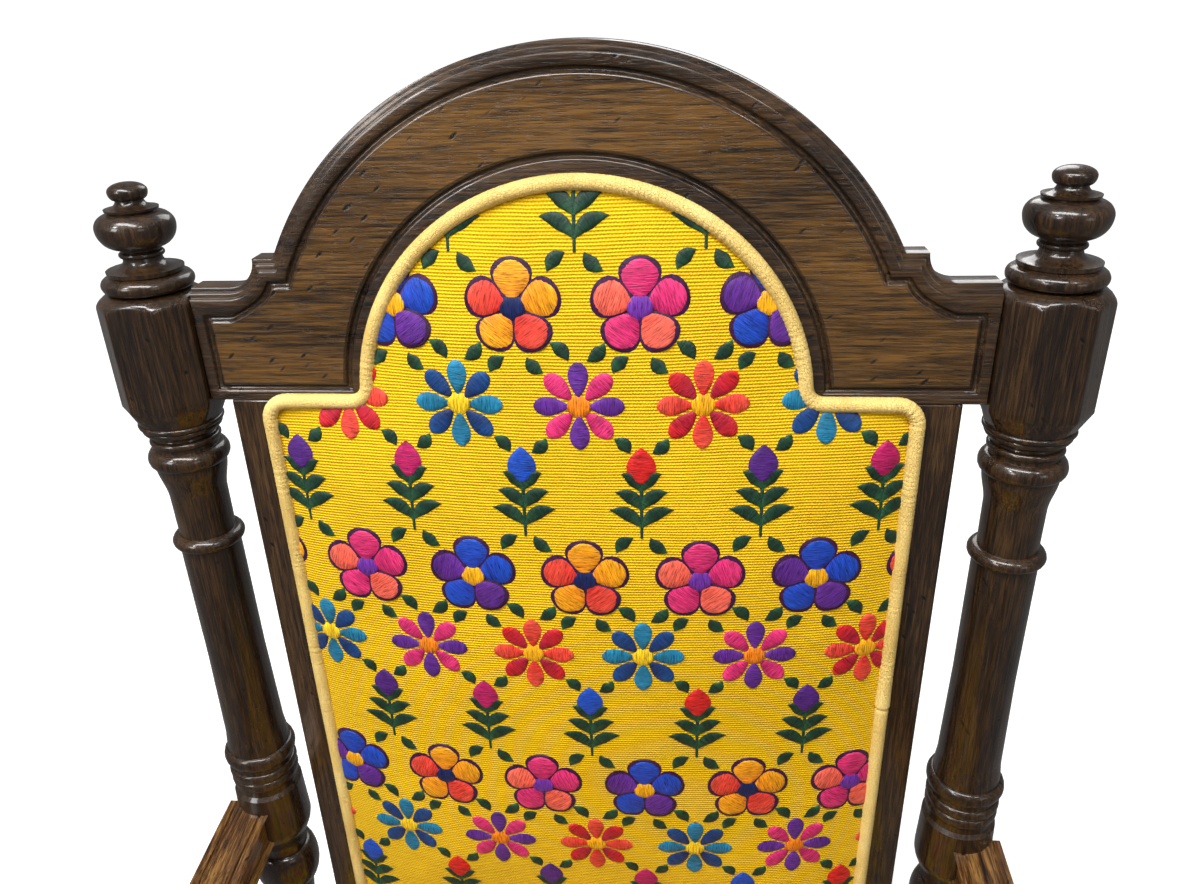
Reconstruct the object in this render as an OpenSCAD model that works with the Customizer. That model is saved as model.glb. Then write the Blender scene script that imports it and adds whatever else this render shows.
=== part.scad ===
// High-back armchair with turned rear posts, an arched crest rail, a padded
// and piped back panel and a matching seat pad.
// Frame: +Z up, the chair faces -Y, origin on the floor at the middle of the
// chair's bounding box. Left is -X and right is +X, as seen from in front.
// Everything that leans with the back is drawn upright and then tilted by raked().

/* [Chair] */
// Distance between the axes of the left and right posts
post_spacing = 574; // [560:1:590]
// Backward lean of the rear posts and of the whole back, in degrees
rake = 4; // [3:0.5:5]
// Distance from the front leg axis to the rear post axis at seat level
seat_depth = 455; // [445:1:470]
// Height of the seat rails' top edge
rail_top = 430; // [426:1:434]
// Height of the armrest's top face at the post
arm_top = 655; // [650:1:660]

/* [Posts] */
// Length along the post from the floor to the finial's collar
collar_h = 1108; // [1100:1:1116]
// Width across the flats of the square blocks
block_w = 63; // [60:1:66]
// Width of each block's front face, between its chamfers
block_face = 32; // [28:1:36]

/* [Crest rail] */
// Radius of the crest's outer arch
arch_r = 219; // [214:1:224]
// Distance from the collar down to the arch's centre and the crest's lower edge
arch_drop = 81; // [78:1:84]
// Thickness of the crest rail and stiles
frame_t = 24; // [22:1:26]
// Distance from one stile's outer edge to the other's
stile_span = 482; // [476:1:488]

/* [Upholstery] */
// Half width of the back panel to the middle of its piping
panel_half = 213; // [210:1:214]
// Radius of the back panel's arched top to the middle of its piping
panel_arch_r = 142.5; // [140:0.5:144]
// Diameter of the leather piping
piping_d = 10; // [8:1:10]
// Thickness of the back cushion at its crown
back_pad_t = 30; // [24:1:36]
// Thickness of the seat cushion at its crown
seat_pad_t = 40; // [34:1:56]

/* [Hidden] */

$fn = 64;
CURVE_STEPS = 8;   // straight pieces in each curved stretch of a turning
EPS = 0.02;        // overlap that keeps joined solids and cutters watertight
FIT = 0.05;        // clearance around a dowel, tenon or screw
blunt = 0.2;       // height of the tiny step that ends a cove, in place of a feather edge

WALNUT = "#4a3423";
DARK_WALNUT = "#33261c";
LEATHER = "#e6cf8f";
CLOTH = "#f2c80f";
PLY = "#c9a673";
STEEL = "#b9bcc0";
NYLON = "#d9d6cc";

half_span = post_spacing / 2;
block_half = block_w / 2;
inner_span = half_span - block_half;       // from the centre plane to a block's inner face
frame_half = frame_t / 2;

// Fore-and-aft layout: the arm's scroll in front and the post blocks behind
// reach equally far from the origin.
arm_overhang = 60;
block_back = (collar_h - 9.2) * sin(rake) + block_half * cos(rake);
axis_gap = seat_depth - rail_top * sin(rake);
y_back = (axis_gap + arm_overhang - block_back) / 2;
y_front = y_back - axis_gap;

// Block ends, measured along a post from the floor
seat_block = [352, 448];
foot_block = [108, 172];
top_block = [collar_h - 98, collar_h - 6];
glide_t = 5;
glide_r = 13;

rail_t = 22;
rail_h = 65;
dowel_r = 5;
dowel_grip = 20;                           // how far a dowel reaches into each side
tenon_r = 9;
tenon_l = 20;
front_stretcher_z = 127;
side_stretcher_z = 153;

arch_z = collar_h - arch_drop;             // the arch's centre, and the crest's lower edge
shoulder_z = collar_h - 4;                 // the crest's flat shoulder, next to the post
step_z = collar_h + 14.5;                  // the small step between shoulder and arch
cove_r = step_z - shoulder_z;
cove_x = 229.5;

panel_shoulder_z = arch_z + 2;
panel_bottom_z = 520;
panel_corner_r = 14;
panel_neck_r = 12;
ledge = 14;                                // how far the frame reaches behind the panel's edge
rebate_d = 10;
board_t = 8.9;
piping_r = piping_d / 2;

seat_board_t = 12;
seat_half = half_span + rail_t / 2;
seat_half_narrow = inner_span - 7;
seat_front = y_front - block_half + 4;
seat_rear = y_back + rail_top * sin(rake) - frame_half - 3;
seat_notch_front = y_front + block_half + 7;
seat_notch_rear = y_back + seat_block[0] * sin(rake) - block_half - 6;
seat_corner_r = 12;
seat_base = rail_top + FIT + seat_board_t;

// ---- turning: lists of [height, radius, curve, bulge], from the foot up ----

LINE = 0;
BEAD = 1;      // half round that stands out by bulge, or a cove if bulge is negative
OGEE = 2;      // S-curve between the two radii
BOWL = 3;      // leaves flat and arrives upright
DOME = 4;      // leaves upright and arrives flat

function mix(a, b, t) = a + (b - a) * t;

function curve_point(p, q, t) =
    q[2] == BEAD ? [mix(p[1], q[1], t) + q[3] * sin(180 * t), mix(p[0], q[0], (1 - cos(180 * t)) / 2)] :
    q[2] == OGEE ? [mix(p[1], q[1], (1 - cos(180 * t)) / 2), mix(p[0], q[0], t)] :
    q[2] == BOWL ? [mix(p[1], q[1], sin(90 * t)), mix(p[0], q[0], 1 - cos(90 * t))] :
    q[2] == DOME ? [mix(p[1], q[1], 1 - cos(90 * t)), mix(p[0], q[0], sin(90 * t))] :
    [mix(p[1], q[1], t), mix(p[0], q[0], t)];

function turning_outline(list) = concat(
    [[0, list[0][0]], [list[0][1], list[0][0]]],
    [for (i = [1:len(list) - 1])
        let (steps = list[i][2] == undef || list[i][2] == LINE ? 1 : CURVE_STEPS)
        for (k = [1:steps]) curve_point(list[i - 1], list[i], k / steps)],
    [[0, list[len(list) - 1][0]]]
);

module turned(list) {
    rotate_extrude() polygon(turning_outline(list));
}

function raised(list, dz) = [for (p = list) [p[0] + dz, p[1], p[2], p[3]]];

// Bun foot with the ring and flare above it, up to the lower block
FOOT = [
    [2, 15], [10, 16.5], [56, 18, BEAD, 11.5], [60, 16.5], [66, 16.5, BEAD, 3.5],
    [92, 24, OGEE], [100, 24, BEAD, 3.5], [foot_block[0] + EPS, 25],
];
// Baluster between the lower block and the seat block
BALUSTER = [
    [foot_block[1] - EPS, 24], [181, 24, BEAD, 4], [184, 19], [188, 17],
    [246, 25, OGEE], [314, 17.5, OGEE], [321, 17.5, BEAD, 3.5], [338, 24, OGEE],
    [341, 24], [349, 24, BEAD, 4], [seat_block[0] + EPS, 25],
];
// Neck and small ring on top of the seat block
NECK = [
    [seat_block[1] - EPS, 24], [457, 24, BEAD, 4], [461, 20], [500, 15.5, OGEE],
    [507, 15.5, BEAD, 3.5],
];
// From the ball under the arm up to the ring below the top block
SHAFT = [
    [552, 19, OGEE], [594, 20.5, BEAD, 8], [598, 20.5], [628, 28.9, OGEE], [668, 27.5],
    [671, 24.8], [677, 24.5], [686, 24.6, BEAD, 2.4], [695, 24.8, BEAD, 2.5], [700, 24.5],
    [713, 24.6, BEAD, 4], [735, 23, OGEE], [808, 21.6], [909, 21.5],
    [919, 19.8, BEAD, 4.9], [950, 20], [976, 24.2, OGEE], [989, 22, BEAD, 4.6],
    [992, 21.8], [997, 22, BEAD, 2.2], [1001.5, 24, BEAD, -2.4],
    [1005.7, 26, BEAD, 1.8], [1010 + EPS, 27.4, BEAD, 2],
];
SHAFT_DATUM = 1108;    // collar height that SHAFT's heights are written for
// Arm support between the seat block and the arm
support_top = 628;
ARM_SUPPORT = [
    [512, 15.5], [556, 25.5, OGEE], [592, 16, OGEE], [599, 16, BEAD, 3.5],
    [612, 17.5, OGEE], [support_top, 17.5],
];
// Collar, dish, neck, bulb, cap and button, measured from the collar's middle
FINIAL = [
    [-6, 22.5], [-5.5, 24.5], [4.5, 24, BEAD, 4.8], [5.5, 22.8], [6, 23.8], [8.6, 24.2],
    [15, 12.2, BOWL], [16, 12], [20, 12, BEAD, 2.2], [22, 12.6], [35.5, 24.6, BOWL],
    [44.5, 15, DOME], [45.2, 15.2], [46, 16.4], [47.4, 16.7], [52.4, 8.6, BOWL],
    [57.6, 12.1, BOWL], [63.2, 1.5, DOME],
];
finial_dowel_r = 6;
finial_dowel_l = 28;

module block_plan() {
    chamfer_span = (block_w + block_face) / sqrt(2);
    intersection() {
        square(block_w, center = true);
        rotate(45) square(chamfer_span, center = true);
    }
}

// A chamfered block whose ends are turned: bevelled below, rounded above
module turned_block(ends) {
    low = ends[0];
    high = ends[1];
    intersection() {
        translate([0, 0, low]) linear_extrude(high - low) block_plan();
        turned([[low, 27.5], [low + 14, 41.5], [high - 12, 36], [high, 22, DOME]]);
    }
}

module raked() {
    translate([0, y_back, 0]) rotate([-rake, 0, 0]) children();
}

module at_post(side) {
    raked() translate([side * half_span, 0, 0]) children();
}

module at_leg(side) {
    translate([side * half_span, y_front, 0]) children();
}

module above_floor(z) {
    translate([-500, -500, z]) cube([1000, 1000, 1400]);
}

// ---- posts, legs and finials ----

module rear_post(side) {
    color(DARK_WALNUT) difference() {
        intersection() {
            at_post(side) union() {
                turned(FOOT);
                turned_block(foot_block);
                turned(BALUSTER);
                turned_block(seat_block);
                turned(concat(NECK, raised(SHAFT, collar_h - SHAFT_DATUM)));
                turned_block(top_block);
            }
            above_floor(glide_t);
        }
        at_post(side) translate([0, 0, top_block[1] - finial_dowel_l - 2])
            cylinder(r = finial_dowel_r + FIT, h = finial_dowel_l + 3);
        rail_dowel_set(FIT, side, 1);
        crest_dowel_set(FIT, side);
        arm_dowel(FIT, side);
        stretcher_tenons(side, 1);
        glide_nail(side, 1, FIT);
    }
}

module front_leg(side) {
    color(DARK_WALNUT) difference() {
        at_leg(side) union() {
            intersection() {
                turned(FOOT);
                above_floor(glide_t);
            }
            turned_block(foot_block);
            turned(BALUSTER);
            turned_block(seat_block);
            turned(concat(NECK, ARM_SUPPORT));
            translate([0, 0, support_top - EPS]) cylinder(r = tenon_r, h = 12);
        }
        rail_dowel_set(FIT, side, -1);
        stretcher_tenons(side, -1);
        glide_nail(side, -1, FIT);
    }
}

module finial(side) {
    color(DARK_WALNUT) at_post(side) union() {
        translate([0, 0, collar_h]) turned(FINIAL);
        translate([0, 0, top_block[1] - finial_dowel_l])
            cylinder(r = finial_dowel_r, h = finial_dowel_l + 1);
    }
}

// ---- armrests ----

arm_t = 32;
arm_rear_half = 19;
arm_front_half = 31;
arm_offset = 11;                 // the arm's middle lies this far outside the post's axis
arm_dip = 14;
scroll_r = 20;
arm_length_steps = 24;
arm_rear_y = y_back + arm_top * sin(rake);
arm_front_y = y_front - arm_overhang + scroll_r;

function arm_share(i) = i / arm_length_steps;
function arm_y(t) = mix(arm_rear_y, arm_front_y, t);
function arm_z(t) = arm_top - arm_dip * pow(sin(180 * t), 2);
function arm_half(t) = mix(arm_rear_half, arm_front_half, (1 - cos(180 * t)) / 2);

module arm_side_view() {
    polygon(concat(
        [for (i = [0:arm_length_steps]) [arm_y(arm_share(i)), arm_z(arm_share(i))]],
        [for (i = [arm_length_steps:-1:0])
            let (t = arm_share(i)) [arm_y(t), arm_z(t) - mix(arm_t, arm_t - 4, t)]]
    ));
    translate([arm_front_y, arm_top - scroll_r]) circle(r = scroll_r);
}

module arm_plan(side, grow) {
    middle = side * (half_span + arm_offset);
    polygon(concat(
        [for (i = [0:arm_length_steps])
            [middle - arm_half(arm_share(i)) - grow, arm_y(arm_share(i))]],
        [[middle - arm_front_half - grow, arm_front_y - 2 * scroll_r],
         [middle + arm_front_half + grow, arm_front_y - 2 * scroll_r]],
        [for (i = [arm_length_steps:-1:0])
            [middle + arm_half(arm_share(i)) + grow, arm_y(arm_share(i))]]
    ));
}

module arm_solid(side, grow) {
    intersection() {
        translate([-500, 0, 0]) rotate([90, 0, 90]) linear_extrude(1000) arm_side_view();
        linear_extrude(arm_top + 50) arm_plan(side, grow);
    }
}

module arm(side) {
    groove_w = 2.6;
    groove_d = 2;
    color(WALNUT) difference() {
        arm_solid(side, 0);
        // Two reeds along the top face
        intersection() {
            difference() {
                arm_solid(side, 1);
                translate([0, 0, -groove_d]) arm_solid(side, 2);
            }
            for (edge = [-1, 1])
                translate([side * (half_span + arm_offset) + edge * (arm_rear_half - 7) - groove_w / 2,
                           arm_front_y, 0])
                    cube([groove_w, arm_rear_y - arm_front_y, 1000]);
        }
        // Coped end that sits against the post's barrel
        translate([-500, arm_rear_y - 14, 0]) cube(1000);
        at_post(side) translate([0, 0, 560]) cylinder(r = 28.9 + FIT, h = 160);
        // Socket for the arm support's tenon
        at_leg(side) translate([0, 0, support_top - 1]) cylinder(r = tenon_r + FIT, h = 14);
        at_leg(side) translate([0, 0, support_top - 60 + FIT]) cylinder(r = 24, h = 60);
        arm_dowel(FIT, side);
    }
}

module arm_dowel(gap, side) {
    translate([side * (half_span + 4), arm_rear_y - 44 - gap, arm_top - 20])
        rotate([-90, 0, 0]) cylinder(r = dowel_r + gap, h = 36 + 2 * gap);
}

// ---- back frame, drawn upright: X across, Y depth, Z along the posts ----

// The crest's outline, drawn inset by d all along its upper edge
module crest_outline(d) {
    intersection() {
        translate([-inner_span, arch_z]) square([2 * inner_span, 400]);
        union() {
            translate([0, arch_z]) circle(r = arch_r - d, $fn = 180);
            translate([-inner_span, arch_z])
                square([2 * inner_span, shoulder_z - arch_z - d - (d > 8 ? 4 : 0)]);
            difference() {
                translate([-cove_x, arch_z]) square([2 * cove_x, step_z - arch_z - d]);
                for (side = [-1, 1])
                    translate([side * cove_x, step_z + blunt]) circle(r = cove_r + d);
            }
        }
    }
}

// A rectangle from low to high with corners of radius r
module rounded(low, high, r) {
    for (x = [low[0] + r, high[0] - r], y = [low[1] + r, high[1] - r])
        translate([x, y]) circle(r = r);
    translate([low[0] + r, low[1]]) square([high[0] - low[0] - 2 * r, high[1] - low[1]]);
    translate([low[0], low[1] + r]) square([high[0] - low[0], high[1] - low[1] - 2 * r]);
}

// The back panel's outline, grown by d beyond the middle of its piping
module panel_outline(d) {
    neck = neck_centre();
    translate([0, arch_z]) circle(r = panel_arch_r + d, $fn = 180);
    difference() {
        translate([-neck[0], arch_z - 60]) square([2 * neck[0], neck[1] - arch_z + 60]);
        for (side = [-1, 1])
            translate([side * neck[0], neck[1] + blunt]) circle(r = panel_neck_r - d);
    }
    rounded([-panel_half - d, panel_bottom_z - d], [panel_half + d, panel_shoulder_z + d],
            max(panel_corner_r + d, 2));
}

// Centre of the small concave curve between the panel's arch and shoulder
function neck_centre() =
    let (z = panel_shoulder_z + panel_neck_r - arch_z)
    [sqrt(pow(panel_arch_r + panel_neck_r, 2) - z * z), panel_shoulder_z + panel_neck_r];

// Extrudes a face drawn in X and Z from depth y0 to y1
module slab(y0, y1) {
    translate([0, y1, 0]) rotate([90, 0, 0]) linear_extrude(y1 - y0) children();
}

groove_w = 4;
groove_d = 3;
border = 17;          // from the crest's upper edge to the field inside its groove
foot_border = 11;     // from its lower and end edges to the field
field_arch_r = 158.5; // radius of the field's inner edge

// The flat field inside the crest's groove, grown by d
module crest_field(d) {
    difference() {
        intersection() {
            crest_outline(border - d);
            translate([-inner_span + foot_border - d, arch_z + foot_border - d])
                square([2 * (inner_span - foot_border + d), 400]);
        }
        translate([0, arch_z]) circle(r = field_arch_r - d, $fn = 180);
    }
}

module panel_rebate() {
    slab(-frame_half - 1, -frame_half + rebate_d) panel_outline(1);
}

module crest_rail() {
    fillet = 3.2;
    color(WALNUT) raked() difference() {
        union() {
            slab(-frame_half + 2 * fillet, frame_half) crest_outline(0);
            slab(-frame_half + fillet, -frame_half + 2 * fillet + EPS) crest_outline(fillet);
            slab(-frame_half, -frame_half + fillet + EPS) crest_outline(2 * fillet);
        }
        slab(-frame_half - 1, -frame_half + groove_d) difference() {
            crest_field(groove_w);
            crest_field(0);
        }
        panel_rebate();
        slab(-frame_half, frame_half + 1)
            translate([0, arch_z]) circle(r = panel_arch_r - ledge, $fn = 180);
        for (side = [-1, 1]) crest_dowels_upright(FIT, side);
        for (side = [-1, 1]) stile_dowels_upright(FIT, side);
    }
}

module back_stile(side) {
    low = rail_top / cos(rake) + FIT;
    color(WALNUT) raked() difference() {
        translate([side > 0 ? panel_half - ledge : -stile_span / 2, -frame_half, low])
            cube([stile_span / 2 - panel_half + ledge, frame_t, arch_z - FIT - low]);
        panel_rebate();
        stile_dowels_upright(FIT, side);
        back_screws_upright(FIT);
    }
}

module back_lower_rail() {
    low = panel_bottom_z - 22;
    color(WALNUT) raked() difference() {
        translate([-panel_half + ledge + FIT, -frame_half, low])
            cube([2 * (panel_half - ledge - FIT), frame_t, 22 + ledge]);
        panel_rebate();
        for (side = [-1, 1]) stile_dowels_upright(FIT, side);
    }
}

module back_board() {
    color(PLY) raked() difference() {
        slab(-frame_half + rebate_d - board_t, -frame_half + rebate_d - FIT) panel_outline(-0.5);
        back_screws_upright(FIT);
    }
}

// Layers of a crowned cushion: [height as a share of the whole, width as a share]
CROWN = [[0, 1], [0.45, 1], [0.68, 0.965], [0.85, 0.9], [0.95, 0.79], [1, 0.62]];

// A cushion t thick over a loop of points, which narrows around middle as it rises
module crowned(path, middle, t) {
    n = len(path);
    layers = len(CROWN);
    points = [for (layer = CROWN, p = path)
        let (q = middle + layer[1] * (p - middle)) [q[0], q[1], t * layer[0]]];
    walls = [for (j = [0:layers - 2], i = [0:n - 1])
        let (a = j * n + i, b = j * n + (i + 1) % n)
        each [[a, a + n, b + n], [a, b + n, b]]];
    polyhedron(points = points, faces = concat(
        [[for (i = [0:n - 1]) i]], [[for (i = [n - 1:-1:0]) (layers - 1) * n + i]], walls));
}

// The back panel's outline as a loop of points, grown by d beyond the middle of its piping
function panel_loop(d) =
    let (neck = neck_centre(), lean = asin((neck[1] - arch_z) / (panel_arch_r + panel_neck_r)),
         r = max(panel_corner_r + d, 2), edge = panel_half + d - r,
         top = panel_shoulder_z + d - r, low = panel_bottom_z - d + r)
    concat(
        arc([0, arch_z], panel_arch_r + d, lean, 180 - lean, 40),
        arc([-neck[0], neck[1]], panel_neck_r - d, 352, 270, 6),
        arc([-edge, top], r, 90, 180, 6),
        arc([-edge, low], r, 180, 270, 6),
        arc([edge, low], r, 270, 360, 6),
        arc([edge, top], r, 0, 90, 6),
        arc([neck[0], neck[1]], panel_neck_r - d, 270, 188, 6)
    );

module back_cushion() {
    face = -frame_half + rebate_d - board_t - FIT;
    middle = [0, (panel_bottom_z + arch_z + panel_arch_r) / 2];
    color(CLOTH) raked() translate([0, face, 0]) rotate([90, 0, 0])
        crowned(panel_loop(-piping_r - 0.3), middle, back_pad_t);
}

module outside_back_panel() {
    color(CLOTH) raked() slab(frame_half + FIT, frame_half + 5) panel_outline(-2);
}

function arc(centre, r, a0, a1, steps) =
    [for (k = [0:steps]) let (a = mix(a0, a1, k / steps)) centre + r * [cos(a), sin(a)]];

// A closed round tube that follows a loop of points in the X-Y plane
module piping(path) {
    sides = 16;
    n = len(path);
    points = [for (i = [0:n - 1])
        let (d = path[(i + 1) % n] - path[(i + n - 1) % n], out = [d[1], -d[0]] / norm(d))
        for (k = [0:sides - 1])
            let (a = 360 * k / sides, p = path[i] + out * piping_r * cos(a))
            [p[0], p[1], piping_r * sin(a)]];
    faces = [for (i = [0:n - 1], k = [0:sides - 1])
        let (here = i * sides, next = (i + 1) % n * sides, up = (k + 1) % sides)
        each [[here + k, here + up, next + up], [here + k, next + up, next + k]]];
    polyhedron(points = points, faces = faces);
}

module back_piping() {
    color(LEATHER) raked() translate([0, -frame_half - piping_r - FIT, 0]) rotate([90, 0, 0])
        piping(panel_loop(0));
}

// ---- seat ----

module seat_rail_front() {
    apron_arch_r = 620;
    arch_rise = 22;
    low = rail_top - rail_h;
    color(WALNUT) difference() {
        translate([-inner_span, y_front - rail_t / 2, low]) cube([2 * inner_span, rail_t, rail_h]);
        translate([0, y_front + rail_t, low + arch_rise - apron_arch_r]) rotate([90, 0, 0])
            cylinder(r = apron_arch_r, h = 2 * rail_t, $fn = 180);
        for (side = [-1, 1]) rail_dowel_set(FIT, side, -1);
        corner_screw_set(FIT);
    }
}

module seat_rail_rear() {
    top = rail_top / cos(rake);
    color(WALNUT) difference() {
        raked() translate([-inner_span, -frame_half, top - rail_h])
            cube([2 * inner_span, frame_t, rail_h]);
        for (side = [-1, 1]) rail_dowel_set(FIT, side, 1);
        raked() for (side = [-1, 1]) stile_dowels_upright(FIT, side);
        corner_screw_set(FIT);
    }
}

module seat_rail_side(side) {
    color(WALNUT) difference() {
        translate([side * half_span - rail_t / 2, y_front + block_half, rail_top - rail_h])
            cube([rail_t, axis_gap, rail_h]);
        // The rear shoulder follows the leaning post
        at_post(side) translate([-100, -block_half, 0]) cube([200, 400, 1000]);
        for (end = [-1, 1]) rail_dowel_set(FIT, side, end);
        corner_screw_set(FIT);
    }
}

// Seat plan: full width between the posts, narrower between the legs and the rear posts
module seat_plan(d) {
    r = max(seat_corner_r + d, 2);
    rounded([-seat_half - d, seat_notch_front - d], [seat_half + d, seat_notch_rear + d], r);
    rounded([-seat_half_narrow - d, seat_front - d], [seat_half_narrow + d, seat_rear + d], r);
}

module seat_board() {
    color(PLY) difference() {
        translate([0, 0, rail_top + FIT]) linear_extrude(seat_board_t - FIT) seat_plan(0);
        seat_screw_set(FIT);
    }
}

// The seat's outline as a loop of points, grown by d
function seat_loop(d) =
    let (r = max(seat_corner_r + d, 2), s = 4 - d,
         wide = seat_half + d, narrow = seat_half_narrow + d,
         front = seat_front - d, rear = seat_rear + d,
         notch_front = seat_notch_front - d, notch_rear = seat_notch_rear + d)
    concat(
        arc([wide - r, notch_front + r], r, 270, 360, 6),
        arc([wide - r, notch_rear - r], r, 0, 90, 6),
        arc([narrow + s, notch_rear + s], s, 270, 180, 6),
        arc([narrow - r, rear - r], r, 0, 90, 6),
        arc([-narrow + r, rear - r], r, 90, 180, 6),
        arc([-narrow - s, notch_rear + s], s, 360, 270, 6),
        arc([-wide + r, notch_rear - r], r, 90, 180, 6),
        arc([-wide + r, notch_front + r], r, 180, 270, 6),
        arc([-narrow - s, notch_front - s], s, 90, 0, 6),
        arc([-narrow + r, front + r], r, 180, 270, 6),
        arc([narrow - r, front + r], r, 270, 360, 6),
        arc([narrow + s, notch_front - s], s, 180, 90, 6)
    );

module seat_cushion() {
    color(CLOTH) translate([0, 0, seat_base + FIT])
        crowned(seat_loop(-piping_d), [0, (seat_front + seat_rear) / 2], seat_pad_t);
}

module seat_piping() {
    color(LEATHER) translate([0, 0, seat_base + piping_r + FIT]) piping(seat_loop(1 - piping_r));
}

brace_h = 42;
brace_z = rail_top - brace_h;
brace_screw_z = brace_z + 14;

module corner_blocks() {
    reach = 46;
    inner_x = half_span - rail_t / 2 - FIT;
    front_y = y_front + rail_t / 2 + FIT;
    rear_y = y_back + rail_top * sin(rake);
    color(PLY) difference() {
        for (side = [-1, 1]) translate([0, 0, brace_z]) linear_extrude(brace_h) {
            polygon([[side * inner_x, y_front + block_half + 2],
                     [side * inner_x, y_front + block_half + reach],
                     [side * (inner_span - reach), front_y], [side * (inner_span - 2), front_y],
                     [side * (inner_span - 2), y_front + block_half + 2]]);
            polygon([[side * inner_x, seat_notch_rear], [side * inner_x, seat_notch_rear - reach],
                     [side * (inner_span - reach), rear_y], [side * (inner_span - 2), rear_y],
                     [side * (inner_span - 2), seat_notch_rear]]);
        }
        raked() translate([-400, -frame_half - FIT, 0]) cube([800, 100, 1000]);
        corner_screw_set(FIT, 40);
        seat_screw_set(FIT, 20);
    }
}

// ---- stretchers ----

module stretcher_profile(length) {
    end = length / 2;
    turned([
        [-end - tenon_l, tenon_r], [-end, tenon_r], [-end, 13], [-end + 30, 12],
        [-end + 38, 12, BEAD, 3.5], [-end + 46, 10.5], [-52, 16, OGEE], [-34, 13, OGEE],
        [-26, 13, BEAD, 3], [26, 13, BEAD, 8], [34, 13, BEAD, 3], [52, 16, OGEE],
        [end - 46, 10.5, OGEE], [end - 38, 12], [end - 30, 12, BEAD, 3.5],
        [end, 13], [end, tenon_r], [end + tenon_l, tenon_r],
    ]);
}

module stretcher_front() {
    color(DARK_WALNUT) translate([0, y_front, front_stretcher_z]) rotate([0, 90, 0])
        stretcher_profile(2 * inner_span - 2 * FIT);
}

module stretcher_rear() {
    color(DARK_WALNUT) raked() translate([0, 0, front_stretcher_z]) rotate([0, 90, 0])
        stretcher_profile(2 * inner_span - 2 * FIT);
}

// The side stretcher's rear tenon goes into the leaning post, so its shoulder has a little play
side_rear_y = y_back + side_stretcher_z * sin(rake) - block_half / cos(rake);
side_front_y = y_front + block_half;

module stretcher_side(side) {
    length = side_rear_y - side_front_y - 1.1;
    color(DARK_WALNUT)
        translate([side * half_span, side_front_y + FIT + length / 2, side_stretcher_z])
            rotate([-90, 0, 0]) stretcher_profile(length);
}

// Sockets for the stretchers' tenons, in a leg (end -1) or a rear post (end 1)
module stretcher_tenons(side, end) {
    r = tenon_r + FIT;
    deep = tenon_l + 1;
    if (end < 0) {
        translate([side * (inner_span - 1), y_front, front_stretcher_z])
            rotate([0, side * 90, 0]) cylinder(r = r, h = deep + 1);
        translate([side * half_span, side_front_y - deep, side_stretcher_z])
            rotate([-90, 0, 0]) cylinder(r = r, h = deep + 1);
    } else {
        raked() translate([side * (inner_span - 1), 0, front_stretcher_z])
            rotate([0, side * 90, 0]) cylinder(r = r, h = deep + 1);
        translate([side * half_span, side_rear_y - 4, side_stretcher_z])
            rotate([-90, 0, 0]) cylinder(r = r, h = deep + 4);
    }
}

// ---- dowels, screws and glides: each set is drawn larger by gap to cut its own holes ----

rail_dowel_drops = [12, 50];     // below the rail's top

// Dowels of both rails that meet at one corner: end -1 in front, 1 behind
module rail_dowel_set(gap, side, end) {
    for (i = [0, 1]) {
        drop = rail_dowel_drops[i];
        cross = rail_top - drop;
        across_l = 2 * dowel_grip - (i == 0 ? 0 : 8);
        if (end < 0) {
            translate([side * inner_span - across_l / 2 - gap, y_front, cross])
                rotate([0, 90, 0]) cylinder(r = dowel_r + gap, h = across_l + 2 * gap);
            translate([side * half_span, y_front + block_half - dowel_grip + 6 - gap, cross])
                rotate([-90, 0, 0]) cylinder(r = dowel_r + gap, h = 2 * dowel_grip - 6 + 2 * gap);
        } else {
            raked() translate([side * inner_span - across_l / 2 - gap, 0, cross])
                rotate([0, 90, 0]) cylinder(r = dowel_r + gap, h = across_l + 2 * gap);
            translate([side * half_span, seat_notch_rear - dowel_grip + 6 - gap, cross])
                rotate([-90, 0, 0]) cylinder(r = dowel_r + gap, h = 2 * dowel_grip + 2 * gap);
        }
    }
}

module rail_dowels() {
    color(PLY) for (side = [-1, 1], end = [-1, 1]) rail_dowel_set(0, side, end);
}

module crest_dowels_upright(gap, side) {
    for (drop = [26, 60])
        translate([side * inner_span - dowel_grip - gap, 0, collar_h - drop])
            rotate([0, 90, 0]) cylinder(r = dowel_r + gap, h = 2 * dowel_grip + 2 * gap);
}

module crest_dowel_set(gap, side) {
    raked() crest_dowels_upright(gap, side);
}

module crest_dowels() {
    color(PLY) for (side = [-1, 1]) crest_dowel_set(0, side);
}

// One dowel at each end of a stile, and one into the lower rail
module stile_dowels_upright(gap, side) {
    x = side * (stile_span / 2 - 14);
    depth = 3;
    for (z = [arch_z, rail_top / cos(rake)])
        translate([x, depth, z - dowel_grip - gap])
            cylinder(r = dowel_r + gap, h = 2 * dowel_grip + 2 * gap);
    translate([side * (panel_half - ledge) - dowel_grip - gap, depth, panel_bottom_z - 4])
        rotate([0, 90, 0]) cylinder(r = dowel_r + gap, h = 2 * dowel_grip + 2 * gap);
}

module stile_dowels() {
    color(PLY) raked() for (side = [-1, 1]) stile_dowels_upright(0, side);
}

module arm_dowels() {
    color(PLY) for (side = [-1, 1]) arm_dowel(0, side);
}

// A countersunk wood screw, head at the origin, point towards -Z; way is how far
// the hole for its head goes on behind it
module wood_screw(length, gap, way = 0) {
    translate([0, 0, -length - gap]) cylinder(r = 2 + gap, h = length + gap);
    translate([0, 0, -2.4]) cylinder(r1 = 2 + gap, r2 = 4.2 + gap, h = 2.4);
    if (way > 0) translate([0, 0, -EPS]) cylinder(r = 5, h = way);
}

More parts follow.
